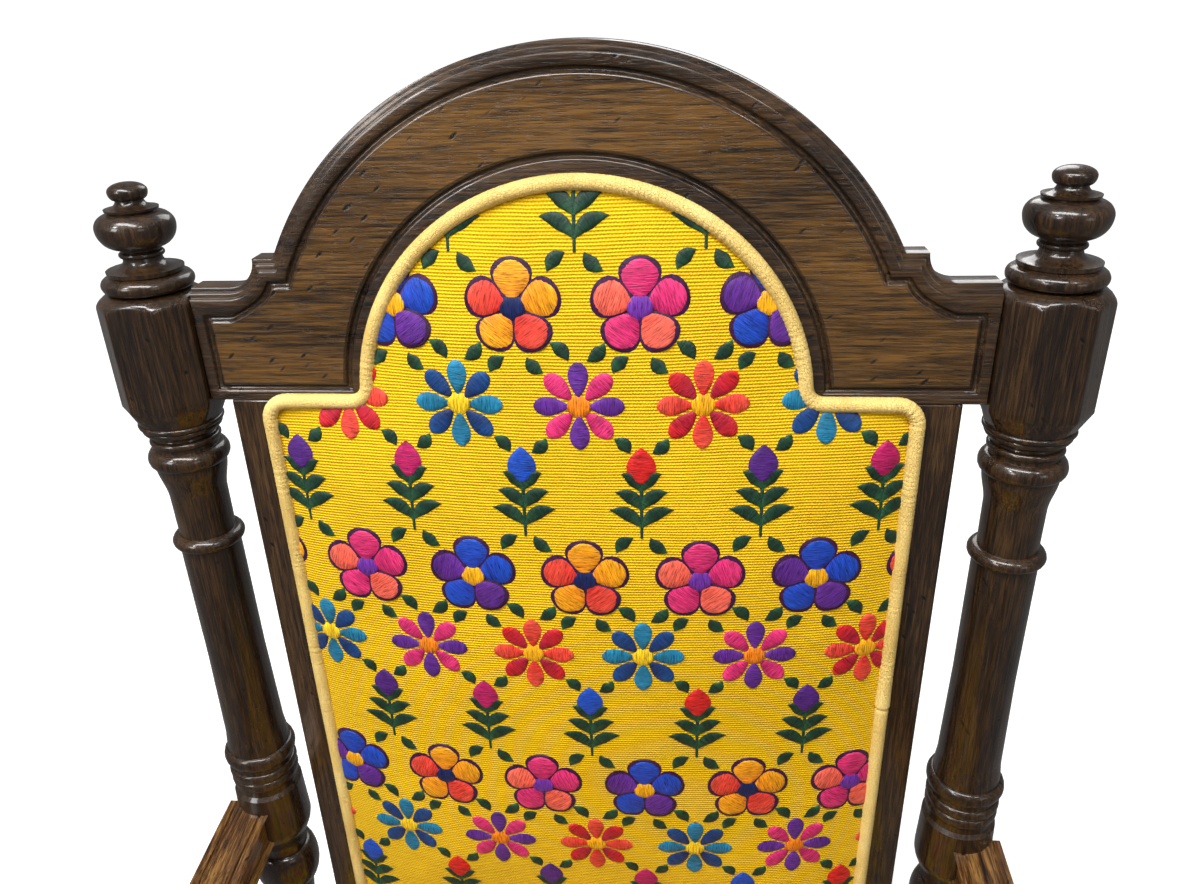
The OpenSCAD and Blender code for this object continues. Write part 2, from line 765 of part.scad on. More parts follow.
// Two screws through each corner block, one into each rail
module corner_screw_set(gap, way = 0) {
    for (side = [-1, 1]) {
        translate([side * (inner_span + 6), y_front + block_half + 18, brace_screw_z])
            rotate([0, side * -90, 0]) wood_screw(28, gap, way);
        translate([side * (inner_span - 18), y_front + 23, brace_screw_z])
            rotate([-90, 0, 0]) wood_screw(24, gap, way);
        translate([side * (inner_span + 6), seat_notch_rear - 14, brace_screw_z])
            rotate([0, side * -90, 0]) wood_screw(28, gap, way);
        raked() translate([side * (inner_span - 18), -frame_half - 14, brace_screw_z])
            rotate([90, 0, 0]) wood_screw(24, gap, way);
    }
}

module corner_screws() {
    color(STEEL) corner_screw_set(0);
}

// Screws up through the corner blocks into the seat board
module seat_screw_set(gap, way = 0) {
    for (side = [-1, 1], y = [y_front + block_half + 9, seat_notch_rear - 5])
        translate([side * (inner_span - 10), y, brace_z + 16])
            rotate([180, 0, 0]) wood_screw(35, gap, way);
}

module seat_screws() {
    color(STEEL) seat_screw_set(0);
}

// Screws from behind the frame's ledge into the back board
module back_screws_upright(gap) {
    for (side = [-1, 1], z = [620, 780, 940])
        translate([side * (panel_half - ledge / 2), frame_half, z])
            rotate([-90, 0, 0]) wood_screw(19, gap);
}

module back_panel_screws() {
    color(STEEL) raked() back_screws_upright(0);
}

// Where a foot meets the floor: end -1 is a front leg, 1 a rear post
function foot_at(side, end) = [side * half_span, end < 0 ? y_front : y_back];

module glide_nail(side, end, gap) {
    translate(foot_at(side, end)) translate([0, 0, 2]) {
        cylinder(r = 1.6 + gap, h = 18 + gap);
        cylinder(r = 4 + gap, h = 1.2);
    }
}

module glides() {
    color(NYLON) for (side = [-1, 1], end = [-1, 1]) difference() {
        translate(foot_at(side, end)) cylinder(r = glide_r, h = glide_t - FIT);
        glide_nail(side, end, FIT);
    }
}

module glide_nails() {
    color(STEEL) for (side = [-1, 1], end = [-1, 1]) glide_nail(side, end, 0);
}

rear_post(-1);  // rear_post_left
rear_post(1);  // rear_post_right
finial(-1);  // finial_left
finial(1);  // finial_right
front_leg(-1);  // front_leg_left
front_leg(1);  // front_leg_right
arm(-1);  // arm_left
arm(1);  // arm_right
crest_rail();
back_stile(-1);  // back_stile_left
back_stile(1);  // back_stile_right
back_lower_rail();
back_board();
back_cushion();
back_piping();
outside_back_panel();
seat_rail_front();
seat_rail_rear();
seat_rail_side(-1);  // seat_rail_left
seat_rail_side(1);  // seat_rail_right
seat_board();
seat_cushion();
seat_piping();
corner_blocks();
stretcher_front();
stretcher_rear();
stretcher_side(-1);  // stretcher_left
stretcher_side(1);  // stretcher_right
rail_dowels();
crest_dowels();
stile_dowels();
arm_dowels();
corner_screws();
seat_screws();
back_panel_screws();
glides();
glide_nails();
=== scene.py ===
"""Looks for the high-back armchair: oak, leather piping and an embroidered back and seat.

Lengths are in millimetres in the chair's own frame, which is the CAD's, and are turned into metres
where a mesh is made. What leans with the back is worked out upright and then tilted by LEAN.
"""
import math

import bpy
import numpy as np
from mathutils import Matrix, Vector
from mathutils.geometry import delaunay_2d_cdt


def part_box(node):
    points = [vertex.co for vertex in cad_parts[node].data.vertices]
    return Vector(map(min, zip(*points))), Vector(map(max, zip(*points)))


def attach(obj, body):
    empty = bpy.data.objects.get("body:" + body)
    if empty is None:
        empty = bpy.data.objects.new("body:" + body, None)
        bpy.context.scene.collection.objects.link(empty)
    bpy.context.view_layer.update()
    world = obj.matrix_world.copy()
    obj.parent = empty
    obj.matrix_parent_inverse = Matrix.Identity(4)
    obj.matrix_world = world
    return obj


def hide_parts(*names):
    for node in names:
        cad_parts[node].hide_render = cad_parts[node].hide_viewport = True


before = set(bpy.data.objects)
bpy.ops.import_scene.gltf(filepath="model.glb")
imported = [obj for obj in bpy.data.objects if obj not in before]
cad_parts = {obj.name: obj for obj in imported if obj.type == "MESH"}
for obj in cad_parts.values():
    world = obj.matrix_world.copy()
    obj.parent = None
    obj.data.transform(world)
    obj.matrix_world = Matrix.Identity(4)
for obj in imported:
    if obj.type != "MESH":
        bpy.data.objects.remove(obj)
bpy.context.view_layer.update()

MM = 0.001

# ---- places and sizes, in millimetres ----

GLIDE_R = 13
FEET = [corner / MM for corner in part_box("glides")]
HALF_SPAN = FEET[1].x - GLIDE_R        # from the centre plane to a post's axis
Y_FRONT = FEET[0].y + GLIDE_R          # the front legs' axes
Y_BACK = FEET[1].y - GLIDE_R           # the rear posts' axes, at the floor
RAKE = math.radians(4)

COLLAR_H = 1108                        # from the floor along a rear post to its finial's collar
BLOCK_HALF = 31.5
CHAMFER_HALF = 33.6                    # from the axis to a chamfer's face
INNER_SPAN = HALF_SPAN - BLOCK_HALF
FRAME_HALF = 12                        # half the thickness of the crest and stiles
ARCH_Z = COLLAR_H - 81                 # the crest arch's centre, and the crest's lower edge
ARCH_R = 219
PANEL_ARCH_R = 142.5                   # the panel's arched top, to the middle of its piping
PANEL_HALF = 213
PANEL_TOP = ARCH_Z + 2                 # the panel's shoulders
PANEL_LOW = 520
PIPING_R = 5
RAIL_TOP = 430
ARM_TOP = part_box("arm_left")[1].z / MM

LEAN = Matrix.Translation(Vector((0, Y_BACK, 0)) * MM) @ Matrix.Rotation(-RAKE, 4, "X")


# ---- meshes ----

def make(name, verts, faces, matrix=Matrix.Identity(4), smooth=True):
    """An object from points in millimetres, in the frame that matrix (in metres) places."""
    mesh = bpy.data.meshes.new(name)
    mesh.from_pydata((np.asarray(verts, float) * MM).tolist(), [], faces)
    mesh.polygons.foreach_set("use_smooth", [smooth] * len(mesh.polygons))
    mesh.update()
    piece = bpy.data.objects.new(name, mesh)
    bpy.context.scene.collection.objects.link(piece)
    piece.matrix_world = matrix
    return piece


def skin(rows, closed=True, loop=False):
    """Points and faces that join each row of points to the next. closed joins a row's ends, and
    loop joins the last row to the first."""
    rows = np.asarray(rows, float)
    n, m = rows.shape[:2]
    index = np.arange(n * m).reshape(n, m)
    if closed:
        index = np.concatenate([index, index[:, :1]], axis=1)
    if loop:
        index = np.concatenate([index, index[:1]], axis=0)
    quads = np.stack([index[:-1, :-1], index[:-1, 1:], index[1:, 1:], index[1:, :-1]], axis=-1)
    return rows.reshape(-1, 3), quads.reshape(-1, 4).tolist()


def finish_piece(piece, material, slot, *nodes):
    piece.data.materials.clear()
    piece.data.materials.append(material)
    if nodes:
        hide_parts(*nodes)
    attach(piece, "root")
    return piece


def crisp(piece, angle=35):
    """Smooth shading, with edges kept sharp above angle."""
    piece.data.set_sharp_from_angle(angle=math.radians(angle))
    return piece


# ---- materials ----

def node(tree, kind, inputs=None, **settings):
    made = tree.nodes.new("ShaderNode" + kind)
    for key, value in settings.items():
        setattr(made, key, value)
    for key, value in (inputs or {}).items():
        if isinstance(value, bpy.types.NodeSocket):
            tree.links.new(value, made.inputs[key])
        else:
            made.inputs[key].default_value = value
    return made


def maths(tree, operation, a, b=0.0, clamp=False):
    return node(tree, "Math", {0: a, 1: b}, operation=operation, use_clamp=clamp).outputs[0]


def blend(tree, factor, a, b, mode="MIX"):
    return node(tree, "Mix", {0: factor, 6: a, 7: b}, data_type="RGBA", blend_type=mode).outputs[2]


def ramp(tree, factor, *stops):
    made = node(tree, "ValToRGB", {0: factor})
    elements = made.color_ramp.elements
    for k, (place, colour) in enumerate(stops):
        if k > 1:
            elements.new(place)
        elements[k].position = place
        elements[k].color = (*colour, 1) if hasattr(colour, "__len__") else (colour,) * 3 + (1,)
    return made.outputs[0]


def rgb(text):
    """Linear colour from six hexadecimal digits."""
    parts = [int(text[k:k + 2], 16) / 255 for k in (0, 2, 4)]
    return tuple(c / 12.92 if c <= 0.04045 else ((c + 0.055) / 1.055) ** 2.4 for c in parts)


def noise(tree, place, scale, detail=3.0, rough=0.55, distortion=0.0):
    stretched = node(tree, "Mapping", {"Vector": place, "Scale": scale}).outputs[0]
    return node(tree, "TexNoise", {"Vector": stretched, "Scale": 1.0, "Detail": detail,
                                   "Roughness": rough, "Distortion": distortion}).outputs[0]


def principled(name, rough, **constants):
    material = bpy.data.materials.new(name)
    material.use_nodes = True
    tree = material.node_tree
    shader = tree.nodes["Principled BSDF"]
    shader.inputs["Roughness"].default_value = rough
    for key, value in constants.items():
        shader.inputs[key.replace("_", " ")].default_value = value
    return material, tree, shader


def bump(tree, shader, height, distance, strength=1.0, below=None):
    inputs = {"Height": height, "Distance": distance, "Strength": strength}
    if below is not None:
        inputs["Normal"] = below
    made = node(tree, "Bump", inputs)
    tree.links.new(made.outputs[0], shader.inputs["Normal"])
    return made.outputs[0]


def wood(name, dark, middle, light, grain=2, nicks=1.0, rough=0.3, streaks=1.0):
    """Stained oak under lacquer, with its grain along axis number grain of the object."""
    material, tree, shader = principled(name, rough, Specular_IOR_Level=0.3, Coat_Weight=0.6,
                                        Coat_Roughness=0.1)
    place = node(tree, "TexCoord").outputs["Object"]

    def along(across, with_grain):
        scale = [across] * 3
        scale[grain] = with_grain
        return scale

    broad = noise(tree, place, along(30, 5), 3, 0.55, 0.4)
    lines = noise(tree, place, along(420, 19), 4, 0.62, 0.5)
    fibre = noise(tree, place, along(900, 34), 3, 0.6)
    pores = noise(tree, place, along(1500, 70), 2, 0.5)
    tone = maths(tree, "ADD", maths(tree, "MULTIPLY", broad, 0.30),
                 maths(tree, "MULTIPLY", lines, 0.42 * streaks))
    tone = maths(tree, "ADD", tone, maths(tree, "MULTIPLY", fibre, 0.30))
    low = 0.15 + 0.21 * streaks
    colour = ramp(tree, tone, (low + 0.04, dark), (low + 0.14, middle), (low + 0.26, light))
    pore = ramp(tree, pores, (0.38, 0.0), (0.46, 1.0))
    colour = blend(tree, 1.0, colour, ramp(tree, pore, (0.0, 0.42), (1.0, 1.0)), "MULTIPLY")
    # Nicks and small dents, each in some of the cells of a coarse pattern
    askew = node(tree, "Mapping", {"Vector": place, "Rotation": (0.5, 0.55, 0.5)}).outputs[0]
    cells = node(tree, "Mapping", {"Vector": askew, "Scale": along(170, 52)}).outputs[0]
    spots = node(tree, "TexVoronoi", {"Vector": cells, "Scale": 1.0, "Randomness": 1.0})
    chosen = maths(tree, "GREATER_THAN", node(tree, "SeparateColor", {0: spots.outputs[1]}).outputs[0],
                   1 - 0.2 * nicks)
    near = ramp(tree, spots.outputs[0], (0.12, 1.0), (0.24, 0.0))
    nick = maths(tree, "MULTIPLY", chosen, near)
    colour = blend(tree, nick, colour, (*(0.3 * c for c in dark), 1))
    tree.links.new(colour, shader.inputs["Base Color"])
    sheen = noise(tree, place, along(60, 14), 3)
    tree.links.new(ramp(tree, sheen, (0.3, rough - 0.06), (0.75, rough + 0.14)),
                   shader.inputs["Roughness"])
    height = maths(tree, "ADD", maths(tree, "MULTIPLY", pore, 0.5),
                   maths(tree, "MULTIPLY", fibre, 0.3))
    height = maths(tree, "SUBTRACT", height, maths(tree, "MULTIPLY", nick, 1.2))
    bump(tree, shader, height, 0.0004, 0.6)
    return material


TURNED = dict(dark=rgb("0b0603"), middle=rgb("25170c"), light=rgb("463018"))
FIELD = dict(dark=rgb("1f1307"), middle=rgb("4c3314"), light=rgb("704e22"))
MOULDED = dict(dark=rgb("0d0804"), middle=rgb("2e1e10"), light=rgb("523a20"))
turned_oak = wood("TurnedOak", **TURNED)
field_oak = wood("FieldOak", **FIELD, grain=0, nicks=1.8, streaks=1.25)
frame_oak_x = wood("FrameOakAcross", **MOULDED, grain=0)
frame_oak_y = wood("FrameOakDeep", **MOULDED, grain=1)
frame_oak_z = wood("FrameOakUpright", **MOULDED, grain=2)
arm_oak = wood("ArmOak", dark=rgb("1c1008"), middle=rgb("59391b"), light=rgb("8f6836"), grain=1,
               streaks=1.3)


def bare_wood():
    material, tree, shader = principled("BareWood", 0.62)
    place = node(tree, "TexCoord").outputs["Object"]
    streaks = noise(tree, place, (6, 160, 160), 4, 0.6)
    tree.links.new(ramp(tree, streaks, (0.3, rgb("a98457")), (0.7, rgb("d9bb8c"))),
                   shader.inputs["Base Color"])
    bump(tree, shader, streaks, 0.0003, 0.5)
    return material


def leather():
    material, tree, shader = principled("CreamLeather", 0.42, Specular_IOR_Level=0.35)
    place = node(tree, "TexCoord").outputs["Object"]
    patches = noise(tree, place, (28, 28, 28), 4)
    grain = noise(tree, place, (900, 900, 900), 3, 0.6)
    colour = ramp(tree, patches, (0.3, rgb("d8b564")), (0.55, rgb("eccb78")), (0.8, rgb("f6dc8e")))
    creases = node(tree, "TexVoronoi", {"Vector": place, "Scale": 520.0},
        feature="DISTANCE_TO_EDGE")
    # The crease lines are darkened in colour as well as bumped: painted shade in the creases.
    line = ramp(tree, creases.outputs[0], (0.0, 0.0), (0.12, 1.0))
    colour = blend(tree, 1.0, colour, ramp(tree, line, (0.0, 0.84), (1.0, 1.0)), "MULTIPLY")
    tree.links.new(colour, shader.inputs["Base Color"])
    tree.links.new(ramp(tree, patches, (0.3, 0.36), (0.7, 0.52)), shader.inputs["Roughness"])
    height = maths(tree, "ADD", line, maths(tree, "MULTIPLY", grain, 0.6))
    bump(tree, shader, height, 0.00035, 0.8)
    return material


RIB = 2.1            # pitch of the cloth's ribs


def ribbed_cloth(name, up_axis):
    """Ribbed cotton: thick weft ribs across the cloth, bound by fine warp threads."""
    material, tree, shader = principled(name, 0.75, Sheen_Weight=0.06, Sheen_Roughness=0.4,
                                        Specular_IOR_Level=0.2)
    place = node(tree, "TexCoord").outputs["Object"]
    wander = noise(tree, place, (14, 14, 14), 2)
    shift = maths(tree, "MULTIPLY", maths(tree, "SUBTRACT", wander, 0.5), 0.004)
    parts = node(tree, "SeparateXYZ", {0: place})
    height = maths(tree, "ADD", parts.outputs[up_axis], shift)
    turns = 2 * math.pi / (RIB * MM)
    rib = maths(tree, "SINE", maths(tree, "MULTIPLY", height, turns))
    rib = maths(tree, "ADD", maths(tree, "MULTIPLY", rib, 0.5), 0.5)
    row = maths(tree, "FLOOR", maths(tree, "MULTIPLY", height, 1 / (RIB * MM)))
    warp = maths(tree, "SINE", maths(tree, "ADD", maths(tree, "MULTIPLY", parts.outputs[0], turns * 0.9),
                                     maths(tree, "MULTIPLY", row, math.pi)))
    warp = maths(tree, "ADD", maths(tree, "MULTIPLY", warp, 0.5), 0.5)
    slub_scale = [55.0] * 3
    slub_scale[up_axis] = 480.0
    slub = noise(tree, place, slub_scale, 3, 0.6)
    # The colour is darker in the hollows between the ribs and between the warp threads: painted shade,
    # mixed with the slubs' own tone.
    depth = maths(tree, "ADD", maths(tree, "MULTIPLY", rib, 0.5),
        maths(tree, "MULTIPLY", slub, 0.34))
    depth = maths(tree, "ADD", depth, maths(tree, "MULTIPLY", warp, 0.16))
    colour = ramp(tree, depth, (0.16, rgb("b67a03")), (0.38, rgb("e2ae07")), (0.72, rgb("f7cf13")))
    fade = noise(tree, place, (9, 9, 9), 3)
    colour = blend(tree, 1.0, colour, ramp(tree, fade, (0.3, rgb("eeeeda")), (0.7, rgb("ffffff"))),
                   "MULTIPLY")
    tree.links.new(colour, shader.inputs["Base Color"])
    relief = maths(tree, "ADD", rib, maths(tree, "MULTIPLY", warp, 0.45))
    relief = maths(tree, "ADD", relief, maths(tree, "MULTIPLY", slub, 0.5))
    bump(tree, shader, relief, 0.0006, 0.8)
    return material


def thread():
    """Satin stitch: UV's V runs along the patch and each stitch lies across it."""
    material, tree, shader = principled("EmbroideryThread", 0.48, Sheen_Weight=0.04,
                                        Sheen_Roughness=0.35, Specular_IOR_Level=0.3)
    dye = node(tree, "VertexColor", layer_name="Dye").outputs[0]
    uv = node(tree, "UVMap", uv_map="Stitch").outputs[0]
    strands = noise(tree, uv, (110, 1300, 1), 3, 0.6)
    fine = noise(tree, uv, (300, 2600, 1), 2, 0.5)
    shade = maths(tree, "ADD", maths(tree, "MULTIPLY", strands, 0.7),
        maths(tree, "MULTIPLY", fine, 0.3))
    # The dye is darkened between the strands and brightened up to 1.3 times on them: painted shade and
    # painted highlight.
    tone = ramp(tree, shade, (0.36, 0.16), (0.47, 0.74), (0.64, 1.3))
    colour = blend(tree, 1.0, dye, tone, "MULTIPLY")
    tree.links.new(colour, shader.inputs["Base Color"])
    bump(tree, shader, shade, 0.0009, 0.8)
    return material


def plain(name, colour, rough, grain_scale, metallic=0.0):
    material, tree, shader = principled(name, rough, Metallic=metallic)
    place = node(tree, "TexCoord").outputs["Object"]
    speckle = noise(tree, place, (grain_scale,) * 3, 3)
    tree.links.new(ramp(tree, speckle, (0.3, tuple(0.8 * c for c in colour)), (0.7, colour)),
                   shader.inputs["Base Color"])
    tree.links.new(ramp(tree, speckle, (0.3, rough), (0.7, rough + 0.12)),
        shader.inputs["Roughness"])
    bump(tree, shader, speckle, 0.0001, 0.3)
    return material


piping_leather = leather()
back_cloth = ribbed_cloth("RibbedClothBack", 2)
seat_cloth = ribbed_cloth("RibbedClothLower", 1)
embroidery = thread()
raw_wood = bare_wood()
zinc = plain("ZincSteel", (0.6, 0.6, 0.62), 0.3, 900, 1.0)
nylon = plain("Nylon", rgb("dcd8cd"), 0.5, 500)

# ---- turned work: lists of (height, radius, curve, bulge), from the foot up ----

LINE, BEAD, OGEE, BOWL, DOME = range(5)


def mix(a, b, t):
    return a + (b - a) * t


def turning(stops, steps=14):
    """Heights and radii along a turning. BEAD stands out by bulge, or is a cove below nought; OGEE is an
    S-curve; BOWL leaves flat and arrives upright, and DOME the other way round."""
    out = [(stops[0][0], stops[0][1])]
    for a, b in zip(stops, stops[1:]):
        kind = b[2] if len(b) > 2 else LINE
        count = max(1, round(abs(b[0] - a[0]) / 12)) if kind == LINE else steps
        for t in np.arange(1, count + 1) / count:
            swing = (1 - math.cos(math.pi * t)) / 2
            rise, fall = math.sin(math.pi * t / 2), 1 - math.cos(math.pi * t / 2)
            z, r = mix(a[0], b[0], t), mix(a[1], b[1], t)
            if kind == BEAD:
                z, r = mix(a[0], b[0], swing), r + b[3] * math.sin(math.pi * t)
            elif kind == OGEE:
                r = mix(a[1], b[1], swing)
            elif kind == BOWL:
                z, r = mix(a[0], b[0], fall), mix(a[1], b[1], rise)
            elif kind == DOME:
                z, r = mix(a[0], b[0], rise), mix(a[1], b[1], fall)
            out.append((z, r))
    return out


def block(low, high):
    """A square block with chamfered corners, bevelled at its foot and rounded at its top."""
    return [(low, 27.5), (low + 14, 41.5), (low + 20, 42), (high - 14, 42), (high - 12, 36),
            (high, 22, DOME)]


FOOT = [(5, 15.8), (10, 16.5), (56, 18, BEAD, 11.5), (60, 16.5), (66, 16.5, BEAD, 3.5),
        (92, 24, OGEE), (100, 24, BEAD, 3.5), (108, 25)]
BALUSTER = [(172, 24), (181, 24, BEAD, 4), (184, 19), (188, 17), (246, 25, OGEE), (314, 17.5, OGEE),
            (321, 17.5, BEAD, 3.5), (338, 24, OGEE), (341, 24), (349, 24, BEAD, 4), (352, 25)]
NECK = [(448, 24), (457, 24, BEAD, 4), (461, 20), (500, 15.5, OGEE), (507, 15.5, BEAD, 3.5)]
SHAFT = [(552, 19, OGEE), (594, 20.5, BEAD, 8), (598, 20.5), (628, 28.9, OGEE), (668, 27.5),
         (671, 24.8), (677, 24.5), (686, 24.6, BEAD, 2.4), (695, 24.8, BEAD, 2.5), (700, 24.5),
         (713, 24.6, BEAD, 4), (735, 23, OGEE), (808, 21.6), (909, 21.5),
         (919, 19.8, BEAD, 4.9), (950, 20), (976, 24.2, OGEE), (989, 22, BEAD, 4.6),
         (992, 21.8), (997, 22, BEAD, 2.2), (1001.5, 24, BEAD, -2.4),
         (1005.7, 26, BEAD, 1.8), (1010, 27.4, BEAD, 2)]
ARM_SUPPORT = [(512, 15.5), (556, 25.5, OGEE), (592, 16, OGEE), (599, 16, BEAD, 3.5),
               (612, 17.5, OGEE), (628, 17.5)]
FINIAL = [(-6, 22.5), (-5.5, 24.5), (4.5, 24, BEAD, 4.8), (5.5, 22.8), (6, 23.8), (8.6, 24.2),
          (15, 12.2, BOWL), (16, 12), (20, 12, BEAD, 2.2), (22, 12.6), (35.5, 24.6, BOWL),
          (44.5, 15, DOME), (45.2, 15.2), (46, 16.4), (47.4, 16.7), (52.4, 8.6, BOWL),
          (57.6, 12.1, BOWL), (63.2, 1.5, DOME)]
STRETCHER_ENDS = 46      # length of each end of a stretcher, with its ring

corner_angle = math.atan2(16, BLOCK_HALF)
CORNERS = [k * math.pi / 2 + s * corner_angle for k in range(4) for s in (-1, 1)]
NEAR_CORNER = [math.radians(a) for a in (-4, -2, -0.9, 0, 0.9, 2, 4)]
TURN = 2 * math.pi
ANGLES = np.array(sorted({round((c + d) % TURN, 5) for c in CORNERS for d in NEAR_CORNER}
                         | {round(k * TURN / 32 + 0.01, 5) for k in range(32)}))


def octagon(angles):
    """Distance from the axis to a block's face in each direction, with slightly rounded corners."""
    faces = []
    for k in range(8):
        reach = BLOCK_HALF if k % 2 == 0 else CHAMFER_HALF
        cosine = np.cos(angles - k * math.pi / 4)
        faces.append(np.where(cosine > 0.2, reach / np.maximum(cosine, 0.2), 1e3))
    softness = 0.35
    return -softness * np.log(sum(np.exp(-f / softness) for f in faces))


def turned(name, stops, matrix, steps=14):
    """A turned piece around the Z axis of the frame that matrix places."""
    points = np.array(turning(stops, steps))
    softness = 0.3
    rows = []
    faces = octagon(ANGLES)
    for z, r in points:
        if r > 29.6:
            radius = -softness * np.log(np.exp(-(faces - 25) / softness)
                                        + math.exp(-(r - 25) / softness)) + 25
        else:
            radius = np.full(len(ANGLES), r)
        rows.append(np.stack([radius * np.cos(ANGLES), radius * np.sin(ANGLES),
                              np.full(len(ANGLES), z)], axis=1))
    verts, quads = skin(rows)
    m = len(ANGLES)
    quads.append(list(range(m))[::-1])
    quads.append([len(verts) - m + k for k in range(m)])
    return crisp(make(name, verts, quads, matrix), 38)


SIDES = {"left": -1, "right": 1}
for word, side in SIDES.items():
    post = LEAN @ Matrix.Translation((side * HALF_SPAN * MM, 0, 0))
    finish_piece(turned("RearPost_" + word, FOOT + block(108, 172) + BALUSTER + block(352, 448) + NECK
                        + SHAFT + block(1010, 1102), post), turned_oak, "turned_oak", "rear_post_" + word)
    finish_piece(turned("Finial_" + word, FINIAL,
                        post @ Matrix.Translation((0, 0, COLLAR_H * MM)), 18),
                 turned_oak, "turned_oak", "finial_" + word)
    leg = Matrix.Translation(Vector((side * HALF_SPAN, Y_FRONT, 0)) * MM)
    finish_piece(turned("FrontLeg_" + word, FOOT + block(108, 172) + BALUSTER + block(352, 448) + NECK
                        + ARM_SUPPORT, leg), turned_oak, "turned_oak", "front_leg_" + word)


def stretcher(name, length, matrix, cad_node):
    end = length / 2
    stops = [(-end, 13), (-end + 30, 12), (-end + 38, 12, BEAD, 3.5), (-end + STRETCHER_ENDS, 10.5),
             (-52, 16, OGEE), (-34, 13, OGEE), (-26, 13, BEAD, 3), (26, 13, BEAD, 8),
             (34, 13, BEAD, 3), (52, 16, OGEE), (end - STRETCHER_ENDS, 10.5, OGEE),
             (end - 38, 12), (end - 30, 12, BEAD, 3.5), (end, 13)]
    finish_piece(turned(name, stops, matrix), turned_oak, "turned_oak", cad_node)


ALONG_X, ALONG_Y = Matrix.Rotation(math.pi / 2, 4, "Y"), Matrix.Rotation(-math.pi / 2, 4, "X")
LOW_STRETCHER, HIGH_STRETCHER = 127, 153
stretcher("StretcherFront", 2 * INNER_SPAN,
          Matrix.Translation(Vector((0, Y_FRONT, LOW_STRETCHER)) * MM) @ ALONG_X, "stretcher_front")
stretcher("StretcherRear", 2 * INNER_SPAN,
          LEAN @ Matrix.Translation((0, 0, LOW_STRETCHER * MM)) @ ALONG_X, "stretcher_rear")
side_front = Y_FRONT + BLOCK_HALF
side_rear = Y_BACK + HIGH_STRETCHER * math.tan(RAKE) - BLOCK_HALF
for word, side in SIDES.items():
    middle = Vector((side * HALF_SPAN, (side_front + side_rear) / 2, HIGH_STRETCHER))
    stretcher("Stretcher_" + word, side_rear - side_front, Matrix.Translation(middle * MM) @ ALONG_Y,
              "stretcher_" + word)

# ---- crest: its boundary is one loop, moved inwards row by row to make the mouldings ----

SHOULDER_Z, STEP_Z = COLLAR_H - 4, COLLAR_H + 14.5
COVE_R, COVE_X = STEP_Z - SHOULDER_Z, 229.5
NECK_R = 12
NECK_Z = PANEL_TOP + NECK_R
NECK_X = math.sqrt((PANEL_ARCH_R + NECK_R) ** 2 - (NECK_Z - ARCH_Z) ** 2)


def arc(cx, cz, r, a0, a1, steps):
    """Points on an arc, between angles in degrees."""
    a = np.radians(np.linspace(a0, a1, steps + 1))
    return np.stack([cx + r * np.cos(a), cz + r * np.sin(a)], axis=1)


def line(a, b, steps):
    t = np.linspace(0, 1, steps + 1)[:, None]
    return np.asarray(a, float) * (1 - t) + np.asarray(b, float) * t


def crest_top(d, end):
    """The right half of the crest's upper edge, inset by d, from the post to the arch's top."""
    drop = 4 * min(max((d - 6.4) / 6.6, 0), 1)
    r = COVE_R + d
    cove_end = 180 + math.degrees(math.asin(d / r))
    cove = arc(COVE_X, STEP_Z, r, 270, cove_end, 14)
    ease = np.linspace(0, 1, len(cove))
    cove[:, 1] -= drop * np.clip(1 - 2 * ease, 0, 1) ** 2
    arch_x = math.sqrt((ARCH_R - d) ** 2 - (STEP_Z - d - ARCH_Z) ** 2)
    arch_start = math.degrees(math.asin((STEP_Z - d - ARCH_Z) / (ARCH_R - d)))
    return np.concatenate([
        line((INNER_SPAN - end, SHOULDER_Z - d - drop), (COVE_X + 0.01, SHOULDER_Z - d - drop), 6)[:-1],
        cove, line(cove[-1], (arch_x, STEP_Z - d), 4)[1:],
        arc(0, ARCH_Z, ARCH_R - d, arch_start, 90, 60)[1:]])


def crest_under(end, foot, inner):
    """The right half of the crest's lower edge, from the top of the opening to the post."""
    if inner < 2:
        opening = arc(0, ARCH_Z, PANEL_ARCH_R + 1 + inner, 90, 5.2, 60)
        neck = arc(NECK_X, NECK_Z, NECK_R - 1 - inner, 188, 270, 8)
        low = line((NECK_X + 9, ARCH_Z + foot), (INNER_SPAN - end, ARCH_Z + foot), 12)
    else:
        r = PANEL_ARCH_R + 1 + inner
        x = math.sqrt(r * r - foot * foot)
        opening = arc(0, ARCH_Z, r, 90, math.degrees(math.asin(foot / r)), 60)
        neck = line((x, ARCH_Z + foot), (x + 0.4, ARCH_Z + foot), 8)
        low = line((x + 0.5, ARCH_Z + foot), (INNER_SPAN - end, ARCH_Z + foot), 12)
    return np.concatenate([opening, neck, low])


def crest_row(d, y_top, end, foot, inner, y_rest):
    top, under = crest_top(d, end), crest_under(end, foot, inner)
    side = line(under[-1], top[0], 6)[1:-1]
    half = np.concatenate([under, side, top])
    height = np.concatenate([np.full(len(under), y_rest), np.linspace(y_rest, y_top, len(side)),
                             np.full(len(top), y_top)])
    right = np.stack([half[:, 0], height, half[:, 1]], axis=1)
    left = right[::-1] * (-1, 1, 1)
    return np.concatenate([right, left[1:-1]])


